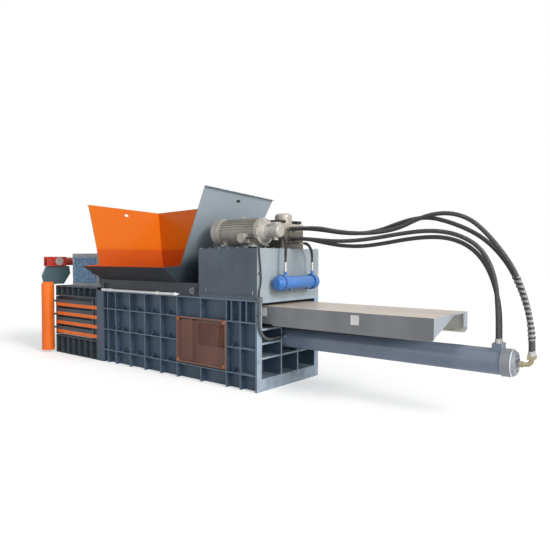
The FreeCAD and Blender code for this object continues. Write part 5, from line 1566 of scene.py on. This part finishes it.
@dataclass
class Studio:
    """Camera at the photograph's angle, pale floor and plain soft light."""

    eye: Point = (6.2847, -5.9206, 1.7474)
    yaw: float = 38.74
    pitch: float = 1.791
    roll: float = 0.107
    focal_px: float = 536.19
    frame_px: float = 550.0
    sensor: float = 36.0
    sight: float = 200.0
    world_level: float = 0.35
    world_color: Color = (0.93, 0.97, 1.0)
    lamp_color: Color = (1.0, 0.985, 0.96)
    lamps: Tuple[Lamp, ...] = (Lamp("key", 2.4, (0.9, -0.06, 0.46), 24.0),
                               Lamp("fill", 1.25, (0.80, -0.52, 0.30), 50.0))
    white: Color = (1.0, 1.0, 1.0)
    floor_half: float = 40.0
    floor_tone: Color = (0.82, 0.82, 0.82)
    floor_cloud: Color = (0.70, 0.70, 0.70)
    floor_lift: float = 0.42

    def camera(self) -> None:
        """Places the camera that the photograph was solved for."""
        data = bpy.data.cameras.new("camera")
        data.sensor_width = self.sensor
        data.lens = self.focal_px / self.frame_px * self.sensor
        data.clip_end = self.sight
        camera = new_object("camera", data)
        turn = (Matrix.Rotation(math.radians(self.yaw), 4, "Z")
                @ Matrix.Rotation(math.radians(90.0 - self.pitch), 4, "X")
                @ Matrix.Rotation(math.radians(self.roll), 4, "Z"))
        camera.matrix_world = Matrix.Translation(self.eye) @ turn
        bpy.context.scene.camera = camera

    def world(self) -> None:
        """Plain light from all round; camera, clear and mirror rays see white."""
        world = bpy.data.worlds.new("studio")
        world.use_nodes = True
        tree = Wired(world.node_tree)
        rays = tree.node("ShaderNodeLightPath")
        seen: Number = 0.0
        for kind in ("Camera", "Transmission", "Glossy"):
            seen = tree.math("MAXIMUM", seen, Sock(tree, rays.outputs[f"Is {kind} Ray"]))
        light, white = (
            tree.out("ShaderNodeBackground", {"Color": color, "Strength": level})
            for color, level in ((self.world_color, self.world_level), (self.white, 1.0)))
        mixed = tree.out("ShaderNodeMixShader", {0: seen, 1: light, 2: white})
        tree.node("ShaderNodeOutputWorld", {"Surface": mixed})
        bpy.context.scene.world = world

    def lights(self) -> None:
        """Broad soft key from the tail's side and a weaker fill from the camera's."""
        for lamp in self.lamps:
            data = bpy.data.lights.new(lamp.name, "SUN")
            data.energy = lamp.level
            data.angle = math.radians(lamp.angle)
            data.color = self.lamp_color
            sun = new_object(lamp.name, data)
            sun.rotation_mode = "QUATERNION"
            sun.rotation_quaternion = turn_to(lamp.way)

    def floor(self) -> None:
        """Pale floor that keeps the shadow and lightens for camera rays."""
        half = self.floor_half
        mesh = bpy.data.meshes.new("floor")
        mesh.from_pydata([(-half, -half, 0.0), (half, -half, 0.0), (half, half, 0.0),
                          (-half, half, 0.0)], [], [(0, 1, 2, 3)])
        surface = Surface("floor_white")
        tone = surface.mix(surface.noise(1.5, 3.0) * 0.06, self.floor_tone, self.floor_cloud)
        matt = surface.out("ShaderNodeBsdfDiffuse", {"Color": tone})
        lift = surface.out("ShaderNodeLightPath", None, "Is Camera Ray") * self.floor_lift
        glow = surface.out("ShaderNodeEmission", {"Color": self.white, "Strength": lift})
        both = surface.out("ShaderNodeAddShader", {0: matt, 1: glow})
        surface.node("ShaderNodeOutputMaterial", {"Surface": both})
        mesh.materials.append(surface.material)
        new_object("floor", mesh)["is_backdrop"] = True

    def build(self) -> None:
        """Sets up the whole studio."""
        self.camera()
        self.world()
        self.lights()
        self.floor()
        bpy.context.scene.view_settings.view_transform = "Standard"


def main() -> None:
    """Builds the scene and works out both boxes, the CAD's and the visual model's."""
    logging.basicConfig(level=logging.INFO, format="%(name)s: %(message)s")
    cad_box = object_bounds()
    Studio().build()
    workshop = Workshop()
    for assembly in (Hoses, Solids, Guard, Hopper, PowerUnit, Cylinder, Deck, Clamp, Outlet,
                     Cabinet):
        assembly(workshop).build()
        LOG.info("%s done", assembly.__name__)
    boxes = [[list(corner) for corner in box] for box in (cad_box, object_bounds())]


if __name__ == "__main__":
    main()
